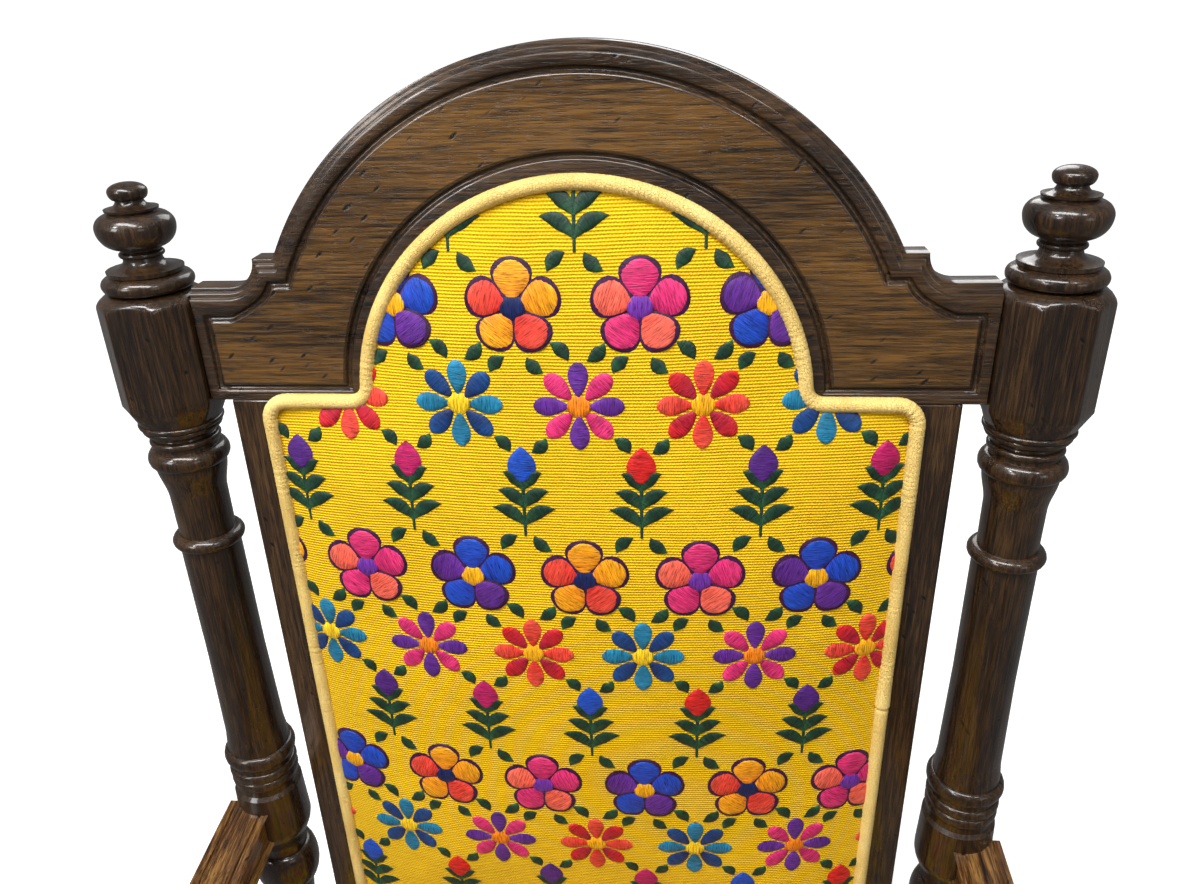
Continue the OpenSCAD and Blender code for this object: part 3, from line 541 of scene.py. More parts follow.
F = FRAME_HALF
crest_rows = [
    (1, F, 1, 1, 1, F), (0.3, F - 0.3, 0.3, 0.3, 0.3, F - 0.3), (0, F - 1, 0, 0, 0, F - 1)]
for d, y in [(0, -4.6), (0.25, -5.3), (0.9, -5.6), (2.5, -5.6), (3, -5.75), (3.2, -6.2), (3.2, -7.8),
             (3.4, -8.5), (4.1, -8.8), (5.7, -8.8), (6.2, -8.95), (6.4, -9.4), (6.4, -10.8),
             (6.65, -11.6), (7.4, -12)]:
    curl = max(0, -11 - y)
    crest_rows.append((d, y, curl, curl, curl, y))
for a in (0.8, 0.35, 0):                      # the band, and the rounded lip into the groove
    crest_rows.append((12.8 - a, -F + 0.4 * (1 - a), 6.8 - a, 6.8 - a, 10.8 - a, -F + 0.4 * (1 - a)))
for w, y in [(0.5, -11), (0.9, -9.9), (1.5, -9.15), (2.4, -8.9), (3.2, -9.15), (3.8, -9.9),
             (4.3, -10.9), (4.9, -11.6), (5.7, -11.95), (6.2, -12)]:
    crest_rows.append((12.8 + w, y, 6.8 + w, 6.8 + w, 10.8 + w, y))
rows = [crest_row(*r) for r in crest_rows]
verts, faces = skin(rows)
wide = len(rows[0])
field = [list(range(len(verts) - wide, len(verts)))[::-1]]
faces = faces + [list(range(wide))] + field
crest = make("CrestRail", verts, faces, LEAN)
crisp(crest, 40)
finish_piece(crest, frame_oak_x, "frame_oak", "crest_rail")
crest.data.materials.append(field_oak)
crest.data.polygons[len(crest.data.polygons) - 1].material_index = 1


# ---- straight members of the frame ----

def rounded_rect(low, high, r, steps=4):
    corners = [(high[0] - r, high[1] - r, 0), (low[0] + r, high[1] - r, 90),
               (low[0] + r, low[1] + r, 180), (high[0] - r, low[1] + r, 270)]
    return np.concatenate([arc(x, z, r, a, a + 90, steps) for x, z, a in corners])


def bar(name, low, high, axis, matrix, material, slot, cad_node, r=1.6):
    """A straight bar from corner low to corner high, along axis, with eased edges."""
    others = [k for k in range(3) if k != axis]
    rows = []
    for place, inset in ((low[axis], 0.8), (low[axis] + 0.8, 0), (high[axis] - 0.8, 0),
                         (high[axis], 0.8)):
        loop = rounded_rect([low[k] + inset for k in others], [high[k] - inset for k in others],
                            r - inset * 0.5)
        row = np.zeros((len(loop), 3))
        row[:, others[0]], row[:, others[1]], row[:, axis] = loop[:, 0], loop[:, 1], place
        rows.append(row)
    verts, faces = skin(rows)
    n = len(rows[0])
    faces += [list(range(n)), list(range(len(verts) - n, len(verts)))[::-1]]
    piece = crisp(make(name, verts, faces, matrix), 40)
    return finish_piece(piece, material, slot, cad_node)


STILE_IN, STILE_OUT = PANEL_HALF - 14, 241
RAIL_T, RAIL_H = 11, 65
for word, side in SIDES.items():
    x = sorted((side * STILE_IN, side * STILE_OUT))
    bar("Stile_" + word, (x[0], -F, RAIL_TOP + 1.1), (x[1], F, ARCH_Z - 0.05), 2, LEAN, frame_oak_z,
        "frame_oak", "back_stile_" + word, 2.4)
    middle = side * HALF_SPAN
    bar("ApronRail_" + word, (middle - RAIL_T, side_front, RAIL_TOP - RAIL_H),
        (middle + RAIL_T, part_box("seat_rail_" + word)[1].y / MM - 0.5, RAIL_TOP), 1,
        Matrix.Identity(4), frame_oak_y, "frame_oak", "seat_rail_" + word)
bar("BackLowerRail", (-STILE_IN, -F, PANEL_LOW - 22), (STILE_IN, F, PANEL_LOW + 14), 0, LEAN,
    frame_oak_x, "frame_oak", "back_lower_rail")
bar("ApronRear", (-INNER_SPAN, -F, RAIL_TOP + 1 - RAIL_H), (INNER_SPAN, F, RAIL_TOP + 1), 0, LEAN,
    frame_oak_x, "frame_oak", "seat_rail_rear")

# The front seat rail, arched underneath
APRON_R, APRON_RISE = 620, 22
rows = []
for x in np.concatenate([[-INNER_SPAN], np.linspace(-INNER_SPAN + 0.8, INNER_SPAN - 0.8, 60),
                         [INNER_SPAN]]):
    low = RAIL_TOP - RAIL_H
    arch = low + APRON_RISE - APRON_R + math.sqrt(APRON_R ** 2 - x * x)
    low = max(low, arch)
    loop = rounded_rect((Y_FRONT - RAIL_T, low), (Y_FRONT + RAIL_T, RAIL_TOP), 2)
    rows.append(np.stack([np.full(len(loop), x), loop[:, 0], loop[:, 1]], axis=1))
verts, faces = skin(rows)
n = len(rows[0])
faces += [list(range(n)), list(range(len(verts) - n, len(verts)))[::-1]]
finish_piece(crisp(make("ApronFront", verts, faces), 40), frame_oak_x, "frame_oak",
             "seat_rail_front")

# ---- arms ----

ARM_REAR_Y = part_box("arm_left")[1].y / MM
ARM_START_Y = 234.16                 # where the arm's middle line begins, inside the post
SCROLL_R = 20
ARM_FRONT_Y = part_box("arm_left")[0].y / MM + SCROLL_R
ARM_OFFSET = 11
REED_X, REED_HALF, REED_DEEP = 12, 1.3, 2


def arm_point(t):
    """Height of the arm's top, its half width and its thickness, from post (0) to scroll (1)."""
    top = ARM_TOP - 14 * math.sin(math.pi * t) ** 2
    return top, mix(19, 31, (1 - math.cos(math.pi * t)) / 2), mix(32, 28, t)


def arm_loop(inset, sink):
    """The arm seen from the side, inset all round and sunk along its top: points (y, z) and half
    widths."""
    points, halves = [], []
    first = (ARM_START_Y - ARM_REAR_Y) / (ARM_START_Y - ARM_FRONT_Y)
    for t in np.linspace(first, 1, 56):
        top, half, _ = arm_point(t)
        fade = min(1, (1 - t) / 0.06) * min(1, (t - first) / 0.03)
        points.append((mix(ARM_START_Y, ARM_FRONT_Y, t), top - inset - sink * fade))
        halves.append(half)
    centre = (ARM_FRONT_Y, ARM_TOP - SCROLL_R)
    meet = math.degrees(math.asin((SCROLL_R - 28) / SCROLL_R))
    for y, z in arc(*centre, SCROLL_R - inset, 90, 360 + meet, 40)[1:]:
        points.append((y, z))
        halves.append(31)
    for t in np.linspace(0.985, first, 50):
        top, half, thick = arm_point(t)
        y = mix(ARM_START_Y, ARM_FRONT_Y, t)
        if y > points[-1][0]:
            points.append((y, top - thick + inset))
            halves.append(half)
    while len(points) < 150:
        points.append(points[-1])
        halves.append(halves[-1])
    return np.array(points), np.array(halves)


EDGE_R = 4.5                         # the arm's eased edges, turned in steps of 18 degrees
EDGE_TURNS = np.radians([0, 18, 36, 54, 72, 90])
REED_PLACES = np.linspace(-1.4, 1.4, 9)


def make_arm(word, side):
    middle = side * (HALF_SPAN + ARM_OFFSET)
    rows = []

    def add(place, inset, sink):
        loop, halves = arm_loop(inset, sink)
        rows.append(np.stack([middle + place(halves), loop[:, 0], loop[:, 1]], axis=1))

    def add_edge(turns, way):
        for a in turns:
            add(lambda h, a=a: way * (h - EDGE_R * (1 - math.sin(a))),
                EDGE_R * (1 - math.cos(math.pi / 2 - a)), 0)

    add_edge(EDGE_TURNS, -1)
    for x in [-REED_X + r for r in REED_PLACES] + [0] + [REED_X + r for r in REED_PLACES]:
        sink = REED_DEEP * max(0.0, 1 - (abs(abs(x) - REED_X) / REED_HALF) ** 4)
        add(lambda h, x=x: np.full(len(h), x), 0, sink)
    add_edge(EDGE_TURNS[::-1], 1)
    verts, faces = skin(rows)
    n = len(rows[0])
    faces += [list(range(n)), list(range(len(verts) - n, len(verts)))[::-1]]
    piece = make("Arm_" + word, verts, [f[::-1] for f in faces])
    return finish_piece(crisp(piece, 45), arm_oak, "arm_oak", "arm_" + word)


for word, side in SIDES.items():
    make_arm(word, side)

# ---- pads: a height over the plan, steep at the seam and nearly flat in the middle ----


RELAX_ROUNDS = 2600                  # rounds of averaging that give a pad its shape
CLOTH_FRAMES, CLOTH_PRESSURE, CLOTH_RISE = 20, 4, 9


def encloses(outline, points):
    """Which of the points lie inside the outline."""
    inside = np.zeros(len(points), bool)
    for a, b in zip(outline, np.roll(outline, -1, axis=0)):
        straddles = (a[1] > points[:, 1]) != (b[1] > points[:, 1])
        if b[1] != a[1]:
            edge = (b[0] - a[0]) * (points[:, 1] - a[1]) / (b[1] - a[1]) + a[0]
            inside ^= straddles & (points[:, 0] < edge)
    return inside


class Pad:
    """A stuffed surface over an outline. depth(points) is its height above its seam."""

    def __init__(self, outline, crown, step=4.0, power=0.62):
        self.outline = np.asarray(outline)
        self.low = self.outline.min(axis=0) - 2 * step
        size = self.outline.max(axis=0) + 2 * step - self.low
        self.step = step
        nx, nz = (np.ceil(size / step)).astype(int) + 1
        x = self.low[0] + step * np.arange(nx)
        z = self.low[1] + step * np.arange(nz)
        gx, gz = np.meshgrid(x, z, indexing="ij")
        points = np.stack([gx.ravel(), gz.ravel()], axis=1)
        inside = encloses(self.outline, points).reshape(nx, nz)
        field = np.where(inside, 1.0, 0.0) * 100
        for _ in range(RELAX_ROUNDS):
            around = (np.roll(field, 1, 0) + np.roll(field, -1, 0) + np.roll(field, 1, 1)
                      + np.roll(field, -1, 1)) / 4
            field = np.where(inside, field + (around + 1.0 - field), 0)
        self.field = crown * (field / field.max()) ** power

    def inflate(self, name):
        """Lets Blender's cloth stretch over the stuffing: the surface is pinned all round its seam,
        blown up from inside, and may rise by no more than CLOTH_RISE."""
        nx, nz = self.field.shape
        x = self.low[0] + self.step * np.arange(nx)
        z = self.low[1] + self.step * np.arange(nz)
        gx, gz = np.meshgrid(x, z, indexing="ij")
        index = np.arange(nx * nz).reshape(nx, nz)
        cells = np.stack([index[:-1, :-1], index[1:, :-1], index[1:, 1:], index[:-1, 1:]],
                         axis=-1).reshape(-1, 4)
        inside = (self.field > 0).ravel()
        cells = cells[inside[cells].any(axis=1)]
        used = np.unique(cells)
        number = np.zeros(nx * nz, int)
        number[used] = np.arange(len(used))
        start = np.stack([gx.ravel(), gz.ravel(), self.field.ravel()], axis=1)[used]
        cloth = make(name, start, number[cells].tolist())
        pins = cloth.vertex_groups.new(name="Seam")
        pins.add(np.flatnonzero(~inside[used]).tolist(), 1.0, "REPLACE")
        modifier = cloth.modifiers.new("Cloth", "CLOTH")
        settings = modifier.settings
        settings.quality = 5
        settings.mass = 0.3
        settings.tension_stiffness = settings.compression_stiffness = 12
        settings.shear_stiffness = 6
        settings.bending_stiffness = 0.6
        settings.vertex_group_mass = "Seam"
        settings.use_pressure = True
        settings.uniform_pressure_force = CLOTH_PRESSURE
        settings.effector_weights.gravity = 0
        modifier.collision_settings.use_collision = False
        scene = bpy.context.scene
        cache = modifier.point_cache
        scene.frame_start, scene.frame_end = 1, CLOTH_FRAMES
        cache.frame_start, cache.frame_end = 1, CLOTH_FRAMES
        for step in range(1, CLOTH_FRAMES + 1):
            scene.frame_set(step)
        swollen = cloth.evaluated_get(bpy.context.evaluated_depsgraph_get()).to_mesh()
        end = np.zeros(len(used) * 3)
        swollen.vertices.foreach_get("co", end)
        end = end.reshape(-1, 3) / MM
        rise = np.clip(end[:, 2] - start[:, 2], -CLOTH_RISE, CLOTH_RISE)
        lifted = self.field.ravel().copy()
        lifted[used] += rise
        lifted[~inside] = 0
        self.field = lifted.reshape(nx, nz)
        scene.frame_set(1)
        bpy.data.objects.remove(cloth)

    def depth(self, points):
        place = (np.asarray(points) - self.low) / self.step
        place = np.clip(place, 0, np.array(self.field.shape) - 1.001)
        cell = place.astype(int)
        f = place - cell
        g, i, j = self.field, cell[..., 0], cell[..., 1]
        return ((1 - f[..., 0]) * ((1 - f[..., 1]) * g[i, j] + f[..., 1] * g[i, j + 1])
                + f[..., 0] * ((1 - f[..., 1]) * g[i + 1, j] + f[..., 1] * g[i + 1, j + 1]))


def even(loop, spacing):
    """The loop's points again, evenly spaced."""
    loop = np.asarray(loop, float)
    closed = np.concatenate([loop, loop[:1]])
    steps = np.linalg.norm(np.diff(closed, axis=0), axis=1)
    keep = np.concatenate([[True], steps > 1e-6])
    closed = closed[keep]
    along = np.concatenate([[0], np.cumsum(np.linalg.norm(np.diff(closed, axis=0), axis=1))])
    n = int(round(along[-1] / spacing))
    at = np.linspace(0, along[-1], n, endpoint=False)
    return np.stack([np.interp(at, along, closed[:, k]) for k in range(2)], axis=1)


def panel_loop(d):
    """The back panel's outline, grown by d beyond the middle of its piping."""
    lean = math.degrees(math.asin((NECK_Z - ARCH_Z) / (PANEL_ARCH_R + NECK_R)))
    r = max(14 + d, 2)
    edge, top, low = PANEL_HALF + d - r, PANEL_TOP + d - r, PANEL_LOW - d + r
    return np.concatenate([
        arc(0, ARCH_Z, PANEL_ARCH_R + d, lean, 180 - lean, 60),
        arc(-NECK_X, NECK_Z, NECK_R - d, 352, 270, 8)[1:],
        arc(-edge, top, r, 90, 180, 8), arc(-edge, low, r, 180, 270, 8),
        arc(edge, low, r, 270, 360, 8), arc(edge, top, r, 0, 90, 8),
        arc(NECK_X, NECK_Z, NECK_R - d, 270, 188, 8)[:-1]])


def seat_loop(d):
    """The seat's outline, grown by d beyond its board."""
    r, s = max(12 + d, 2), 4 - d
    wide, narrow = HALF_SPAN + RAIL_T + d, INNER_SPAN - 7 + d
    front, rear = Y_FRONT - BLOCK_HALF + 4 - d, Y_BACK + RAIL_TOP * math.sin(RAKE) - F - 3 + d
    notch_front = Y_FRONT + BLOCK_HALF + 7 - d
    notch_rear = Y_BACK + 352 * math.sin(RAKE) - BLOCK_HALF - 6 + d
    right = [arc(narrow - r, front + r, r, 270, 360, 8), arc(narrow + s, notch_front - s, s, 180, 90, 5),
             arc(wide - r, notch_front + r, r, 270, 360, 8), arc(wide - r, notch_rear - r, r, 0, 90, 8),
             arc(narrow + s, notch_rear + s, s, 270, 180, 5), arc(narrow - r, rear - r, r, 0, 90, 8)]
    half = np.concatenate(right)
    return np.concatenate([half, (half * (-1, 1))[::-1]])


def pad_mesh(pad, loop, place, spacing=4.0, base=0.0):
    """A closed pad: a fine grid inside the loop, its rim, a wall down to base and a flat underside.
    place(points, height) gives points in space."""
    rim = even(loop, spacing)
    low, high = rim.min(axis=0), rim.max(axis=0)
    gx, gz = np.meshgrid(np.arange(low[0] + spacing / 2, high[0], spacing),
                         np.arange(low[1] + spacing / 2, high[1], spacing), indexing="ij")
    grid = np.stack([gx.ravel(), gz.ravel()], axis=1)
    far = np.array([np.min(np.hypot(*(rim - p).T)) for p in grid])
    inner = grid[encloses(pad.outline, grid) & (far > 0.62 * spacing)]
    flat = np.concatenate([rim, inner])
    n = len(rim)
    edges = [(k, (k + 1) % n) for k in range(n)]
    out, _, tris, *_ = delaunay_2d_cdt([Vector(p) for p in flat], edges, [list(range(n))], 1,
                                       1e-4)
    flat = np.array([tuple(p) for p in out])
    height = pad.depth(flat)
    height[:n] = pad.depth(rim)
    top = place(flat, height)
    wall = place(rim, np.full(n, base))
    verts = np.concatenate([top, wall])
    faces = [list(t) for t in tris]
    m = len(top)
    faces += [[(k + 1) % n, k, m + k, m + (k + 1) % n] for k in range(n)]
    faces.append([m + k for k in range(n)][::-1])
    return verts, faces


BACK_CROWN, SEAT_CROWN = 21, 24
back_pad = Pad(panel_loop(0), BACK_CROWN)
back_pad.inflate("BackCloth")
SEAM_Y = -F - 2.5
BACK_PAD_FOOT, SEAT_PAD_FOOT, OUTSIDE_FOOT = -11.6, -8, -3.6    # undersides, from the seam


def on_back(points, height):
    """Points (x, s) of the back panel at a height in front of its seam."""
    return np.stack([points[:, 0], SEAM_Y - height, points[:, 1]], axis=1)


verts, faces = pad_mesh(back_pad, panel_loop(-2.6), on_back, base=BACK_PAD_FOOT)
cushion = make("BackPad", verts, faces, LEAN)
finish_piece(crisp(cushion, 60), back_cloth, "embroidered_cloth", "back_cushion")

seat_pad = Pad(seat_loop(-3), SEAT_CROWN)
seat_pad.inflate("LowerCloth")
SEAT_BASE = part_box("seat_cushion")[0].z / MM
SEAT_SEAM = SEAT_BASE + 8


def on_seat(points, height):
    return np.stack([points[:, 0], points[:, 1], SEAT_SEAM + height], axis=1)


verts, faces = pad_mesh(seat_pad, seat_loop(-6.5), on_seat, base=SEAT_PAD_FOOT)
cushion = make("LowerPad", verts, [f[::-1] for f in faces])
finish_piece(crisp(cushion, 60), seat_cloth, "embroidered_cloth", "seat_cushion")

# The cloth goes over the edge of the board under the seat
BOARD_LOW, BOARD_HIGH = (corner.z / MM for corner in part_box("seat_board"))
rows = []
for d, z in [(-0.6, BOARD_LOW + 0.1), (0.5, BOARD_LOW + 0.2), (0.95, BOARD_LOW + 1),
             (1.1, (BOARD_LOW + BOARD_HIGH) / 2), (0.9, BOARD_HIGH - 1.2), (0.3, BOARD_HIGH + 0.2),
             (-1.5, BOARD_HIGH + 0.8)]:
    loop = seat_loop(d)
    rows.append(np.stack([loop[:, 0], loop[:, 1], np.full(len(loop), z)], axis=1))
verts, faces = skin(rows)
finish_piece(crisp(make("LowerBand", verts, faces), 50), seat_cloth, "embroidered_cloth")

# The outside of the back is covered with the same cloth, stretched over a board
outside = Pad(panel_loop(-2), 1.2)
verts, faces = pad_mesh(outside, panel_loop(-3.4),
                        lambda p, h: np.stack([p[:, 0], F + 3.7 + h, p[:, 1]], axis=1),
                        spacing=7.0, base=OUTSIDE_FOOT)
finish_piece(crisp(make("OutsideBack", verts, [f[::-1] for f in faces], LEAN), 60), back_cloth,
             "embroidered_cloth", "outside_back_panel")


# ---- leather piping ----

CREASE_STEP = 1.0                    # along the tube, whose creases are 2 to 7 mm apart


def piping(name, loop, place, matrix, cad_node, lap, seed=0.0):
    """A leather tube along a loop. It creases across, most of all in its bends, and laps over
    itself at lap."""
    path = even(loop, CREASE_STEP)
    n, sides = len(path), 20
    ahead, behind = np.roll(path, -1, axis=0), np.roll(path, 1, axis=0)
    way = (ahead - behind) / np.linalg.norm(ahead - behind, axis=1)[:, None]
    out = np.stack([way[:, 1], -way[:, 0]], axis=1)
    turn = np.roll(way, -5, axis=0) - np.roll(way, 5, axis=0)
    bend = np.clip(np.linalg.norm(turn, axis=1) * 1.6, 0, 1)
    for _ in range(15):
        bend = (np.roll(bend, 1) + bend + np.roll(bend, -1)) / 3
    along = np.arange(n) * CREASE_STEP
    phase = along * 1.9 + 3.1 * np.sin(along * 0.13 + seed) + 1.3 * np.sin(along * 0.41)
    strong = 0.35 + 0.65 * np.sin(along * 0.043 + seed) ** 2
    fat = PIPING_R * (1 - 0.015 * np.sin(along * 0.05 + seed))
    gap = np.linalg.norm(path - np.asarray(lap, float), axis=1)
    step = along - along[int(np.argmin(gap))]
    fat = fat + np.where((step > 0) & (step < 26), 0.75 * np.exp(-step / 14), 0)
    fat = fat - 0.9 * np.exp(-(step / 1.3) ** 2)
    rows = []
    a = np.linspace(0, TURN, sides, endpoint=False)
    for i in range(n):
        fold = np.sin(phase[i] + 0.8 * np.sin(a + seed)) * strong[i]
        depth = fold * (0.22 + 0.34 * bend[i]) * (0.65 + 0.35 * np.cos(a - 2.6))
        r = fat[i] + depth
        p = path[i][None] + out[i][None] * (r * np.cos(a))[:, None]
        rows.append(place(p, r * np.sin(a)))
    verts, faces = skin(rows, loop=True)
    piece = make(name, verts, faces, matrix)
    return finish_piece(piece, piping_leather, "piping_leather", cad_node)


piping("BackPiping", panel_loop(0),
       lambda p, h: np.stack([p[:, 0], -F - PIPING_R - h, p[:, 1]], axis=1), LEAN, "back_piping",
       lap=(PANEL_HALF, 788))
piping("LowerPiping", seat_loop(1 - PIPING_R),
       lambda p, h: np.stack([p[:, 0], p[:, 1], SEAT_BASE + PIPING_R + h], axis=1),
       Matrix.Identity(4), "seat_piping", lap=(120, Y_BACK), seed=1.7)

# ---- embroidery: satin-stitched patches, laid over a pad in layers ----

DYES = {name: np.array(rgb(code)) for name, code in dict(
    magenta="b8185e", pink="ec3a78", crimson="960f36", red="d4201f", coral="f05540",
    salmon="f8705c", orange="f08216", gold="f3ab14", yellow="f2c61e", royal="1f39ac",
    blue="174cb8", ocean="104a88", cyan="2388b4", teal="135a70", navy="142154", purple="4f2079",
    violet="6c2f9a", plum="3a123e", green="183f2d", leaf="275f3b", forest="113023").items()}


def smooth_line(points, spacing=1.8):
    """A smooth curve through the control points, and each point's place between the first and
    last."""
    p = np.asarray(points, float)
    p = np.concatenate([[2 * p[0] - p[1]], p, [2 * p[-1] - p[-2]]])
    out, place = [], []
    for k in range(1, len(p) - 2):
        steps = max(1, round(np.hypot(*(p[k + 1] - p[k])) / spacing))
        for t in np.linspace(0, 1, steps, endpoint=False):
            out.append(0.5 * (2 * p[k] + (p[k + 1] - p[k - 1]) * t
                              + (2 * p[k - 1] - 5 * p[k] + 4 * p[k + 1] - p[k + 2]) * t * t
                              + (3 * p[k] - p[k - 1] - 3 * p[k + 1] + p[k + 2]) * t ** 3))
            place.append((k - 1 + t) / (len(p) - 3))
    out.append(p[-2])
    place.append(1.0)
    return np.array(out), np.array(place)


STITCH_LAYER = 0.26                  # how much higher each layer of stitching lies
DYE_BLUR = 0.05                      # how far one colour's stitches stray into the next


def around(centre, angle, distance):
    return np.asarray(centre, float) + distance * np.array([math.cos(angle), math.sin(angle)])


class Hoop:
    """Patches of stitching on one pad, gathered into a single piece."""

    def __init__(self, pad, place, border):
        self.pad, self.place, self.border = pad, place, border
        self.points, self.lift, self.faces, self.uv, self.dye = [], [], [], [], []
        self.count = 0
        self.dice = np.random.default_rng(11)

    def patch(self, points, widths, dye, layer=0, thick=1.0, columns=7, spacing=1.8):
        """One patch of satin stitch. widths are half widths at the control points. dye is a colour,
        or a list of them from the first point to the last."""
        centre, place = smooth_line(points, spacing)
        width = np.interp(place, np.linspace(0, 1, len(widths)), widths)
        way = np.gradient(centre, axis=0)
        way /= np.maximum(np.linalg.norm(way, axis=1), 1e-9)[:, None]
        normal = np.stack([-way[:, 1], way[:, 0]], axis=1)
        u = np.linspace(-1, 1, columns)
        flat = centre[:, None] + normal[:, None] * (width[:, None] * u[None])[..., None]
        dome = np.maximum(1 - u * u, 0) ** 0.6
        tall = 0.72 * thick * np.clip(width / 3.0, 0.25, 1.0)
        lift = tall[:, None] * dome[None] + 0.12 + STITCH_LAYER * layer
        lift[:, 0] = lift[:, -1] = -0.2 + STITCH_LAYER * layer * 0.8
        along = np.concatenate([[0], np.cumsum(np.linalg.norm(np.diff(centre, axis=0), axis=1))])
        shift = self.dice.uniform(0, 400, 2)
        uv = np.stack([width[:, None] * u[None] + shift[0],
                       np.repeat(along[:, None], columns, 1) + shift[1]], axis=-1)
        names = [dye] if isinstance(dye, str) else dye
        table = np.array([DYES[n] for n in names])
        at = (place[:, None] + self.dice.normal(0, DYE_BLUR, (len(place), 1))
              + self.dice.normal(0, DYE_BLUR * 0.6, (len(place), columns)))
        at = np.clip(at, 0, 1) * (len(names) - 1)
        colour = np.stack([np.interp(at, np.arange(len(names)), table[:, c]) for c in range(3)],
                          axis=-1)
        colour = colour * self.dice.normal(1, 0.09, (len(place), 1, 1)).clip(0.7, 1.3)
        n = len(centre)
        index = self.count + np.arange(n * columns).reshape(n, columns)
        quads = np.stack([index[:-1, :-1], index[:-1, 1:], index[1:, 1:], index[1:, :-1]], axis=-1)
        self.points.append(flat.reshape(-1, 2))
        self.lift.append(lift.reshape(-1))
        self.uv.append(uv.reshape(-1, 2))
        self.dye.append(colour.reshape(-1, 3))
        self.faces.append(quads.reshape(-1, 4))
        self.count += n * columns

    def leaf(self, base, tip, width, dye, bend=0.0, layer=0, fat=0.5, blunt=0.0, thick=1.0):
        """A pointed leaf or petal. bend bows it sideways, fat places its widest point, and blunt
        rounds its tip."""
        base, tip = np.asarray(base, float), np.asarray(tip, float)
        way = tip - base
        side = np.array([-way[1], way[0]])
        t = (1 - np.cos(np.pi * np.linspace(0, 1, 13))) / 2
        points = base + way * t[:, None] + side * (bend * np.sin(np.pi * t))[:, None]
        shape = np.sin(np.pi * t ** (math.log(0.5) / math.log(fat)))
        if blunt:
            shape = np.maximum(shape, 0) ** (1 - 0.55 * blunt)
        columns = 5 if width < 3 else 7
        self.patch(points, width * np.clip(shape, 0, 1) + 0.12, dye, layer, thick, columns=columns,
                   spacing=max(1.1, min(2.0, np.hypot(*way) / 9)))

    def petal(self, centre, angle, start, end, width, dye, layer=0, fat=0.62, blunt=0.9, thick=1.0):
        self.leaf(around(centre, angle, start), around(centre, angle, end), width, dye, layer=layer,
                  fat=fat, blunt=blunt, thick=thick)

    def disc(self, centre, r, dye, layer=0, thick=1.2):
        t = np.linspace(-math.pi / 2, math.pi / 2, 11)
        points = np.asarray(centre, float) + r * np.sin(t)[:, None] * np.array([1.0, 0.0])
        self.patch(points, r * np.cos(t) + 0.05, dye, layer, thick, spacing=max(0.8, r / 7))

    def piece(self, name, matrix):
        flat, lift = np.concatenate(self.points), np.concatenate(self.lift)
        faces, uv = np.concatenate(self.faces), np.concatenate(self.uv)
        dye = np.concatenate(self.dye)
        inside = encloses(self.border, flat)
        faces = faces[inside[faces].any(axis=1)]
        used = np.unique(faces)
        number = np.zeros(len(flat), int)
        number[used] = np.arange(len(used))
        faces, flat, lift, uv, dye = number[faces], flat[used], lift[used], uv[used], dye[used]
        piece = make(name, self.place(flat, self.pad.depth(flat) + lift), faces.tolist(), matrix)
        mesh = piece.data
        layer = mesh.uv_layers.new(name="Stitch")
        corners = np.zeros(len(mesh.loops), int)
        mesh.loops.foreach_get("vertex_index", corners)
        layer.data.foreach_set("uv", (uv[corners] * MM).ravel())
        dyes = mesh.color_attributes.new("Dye", "FLOAT_COLOR", "POINT")
        dyes.data.foreach_set("color", np.concatenate([dye, np.ones((len(dye), 1))], axis=1).ravel())
        return finish_piece(piece, embroidery, "embroidered_cloth")


GREENS = ["leaf", "forest", "green"]
BLOOMS = [([["magenta", "pink"], ["coral", "salmon"]], "violet"),
          ([["royal", "blue"], ["violet", "purple"]], "gold"),
          ([["orange", "gold"], ["red", "coral"]], "navy")]
DAISIES = [([["red", "coral"], ["crimson", "red"]], "gold"),
           ([["teal", "cyan"], ["navy", "ocean"]], "yellow"),
           ([["violet", "purple"], ["magenta", "pink"]], "orange")]
BUDS = ["magenta", "blue", "red", "purple"]
COLUMN_PITCH, ROW_PITCH = 78, 63        # a half-drop repeat: each row is shifted by half a column


def corner_leaves(hoop, centre, near, far):
    """Four leaves that point away from a flower, between it and its neighbours."""
    for k in range(4):
        angle = TURN * (k + 0.5) / 4
        hoop.leaf(around(centre, angle, near), around(centre, angle, far), 4.6, GREENS, bend=0.12,
                  layer=1)


def bloom(hoop, centre, kind):
    """A round flower with five broad petals."""
    dyes, heart = BLOOMS[kind % len(BLOOMS)]
    for k in range(5):
        angle = TURN * (0.25 + k / 5)
        hoop.petal(centre, angle, 3, 31, 13, "plum", 1 + 2 * (k % 2), fat=0.64, blunt=1.0,
            thick=0.8)
        hoop.petal(centre, angle, 4, 29, 11.5, dyes[k % 2], 2 + 2 * (k % 2), fat=0.64, blunt=1.0,
                   thick=1.4)
    hoop.disc(centre, 8, heart, 6)
    corner_leaves(hoop, centre, 31, 47)


def daisy(hoop, centre, kind):
    """A round flower with eight narrow petals."""
    dyes, heart = DAISIES[kind % len(DAISIES)]
    for k in range(8):
        hoop.petal(centre, TURN * k / 8, 6, 29, 6.4, dyes[k % 2], 2)
    hoop.disc(centre, 7.5, heart, 3)
    corner_leaves(hoop, centre, 31, 45)


def sprig(hoop, centre, kind):
    """An upright stem with three pairs of leaves under a bud."""
    x, z = centre
    hoop.patch([(x, z - 30), (x, z), (x, z + 18)], [1.0, 1.3, 1.0], "green", layer=1, columns=5,
               thick=0.8)
    for step in range(3):
        foot = z - 22 + 13 * step
        for side in SIDES.values():
            hoop.leaf((x, foot), (x + side * (21 - 4 * step), foot + 13), 4.8, GREENS,
                      bend=0.15 * side, layer=2)
    hoop.leaf((x, z + 10), (x, z + 35), 9.5, BUDS[kind % len(BUDS)], layer=3, fat=0.45, blunt=0.4,
              thick=1.3)


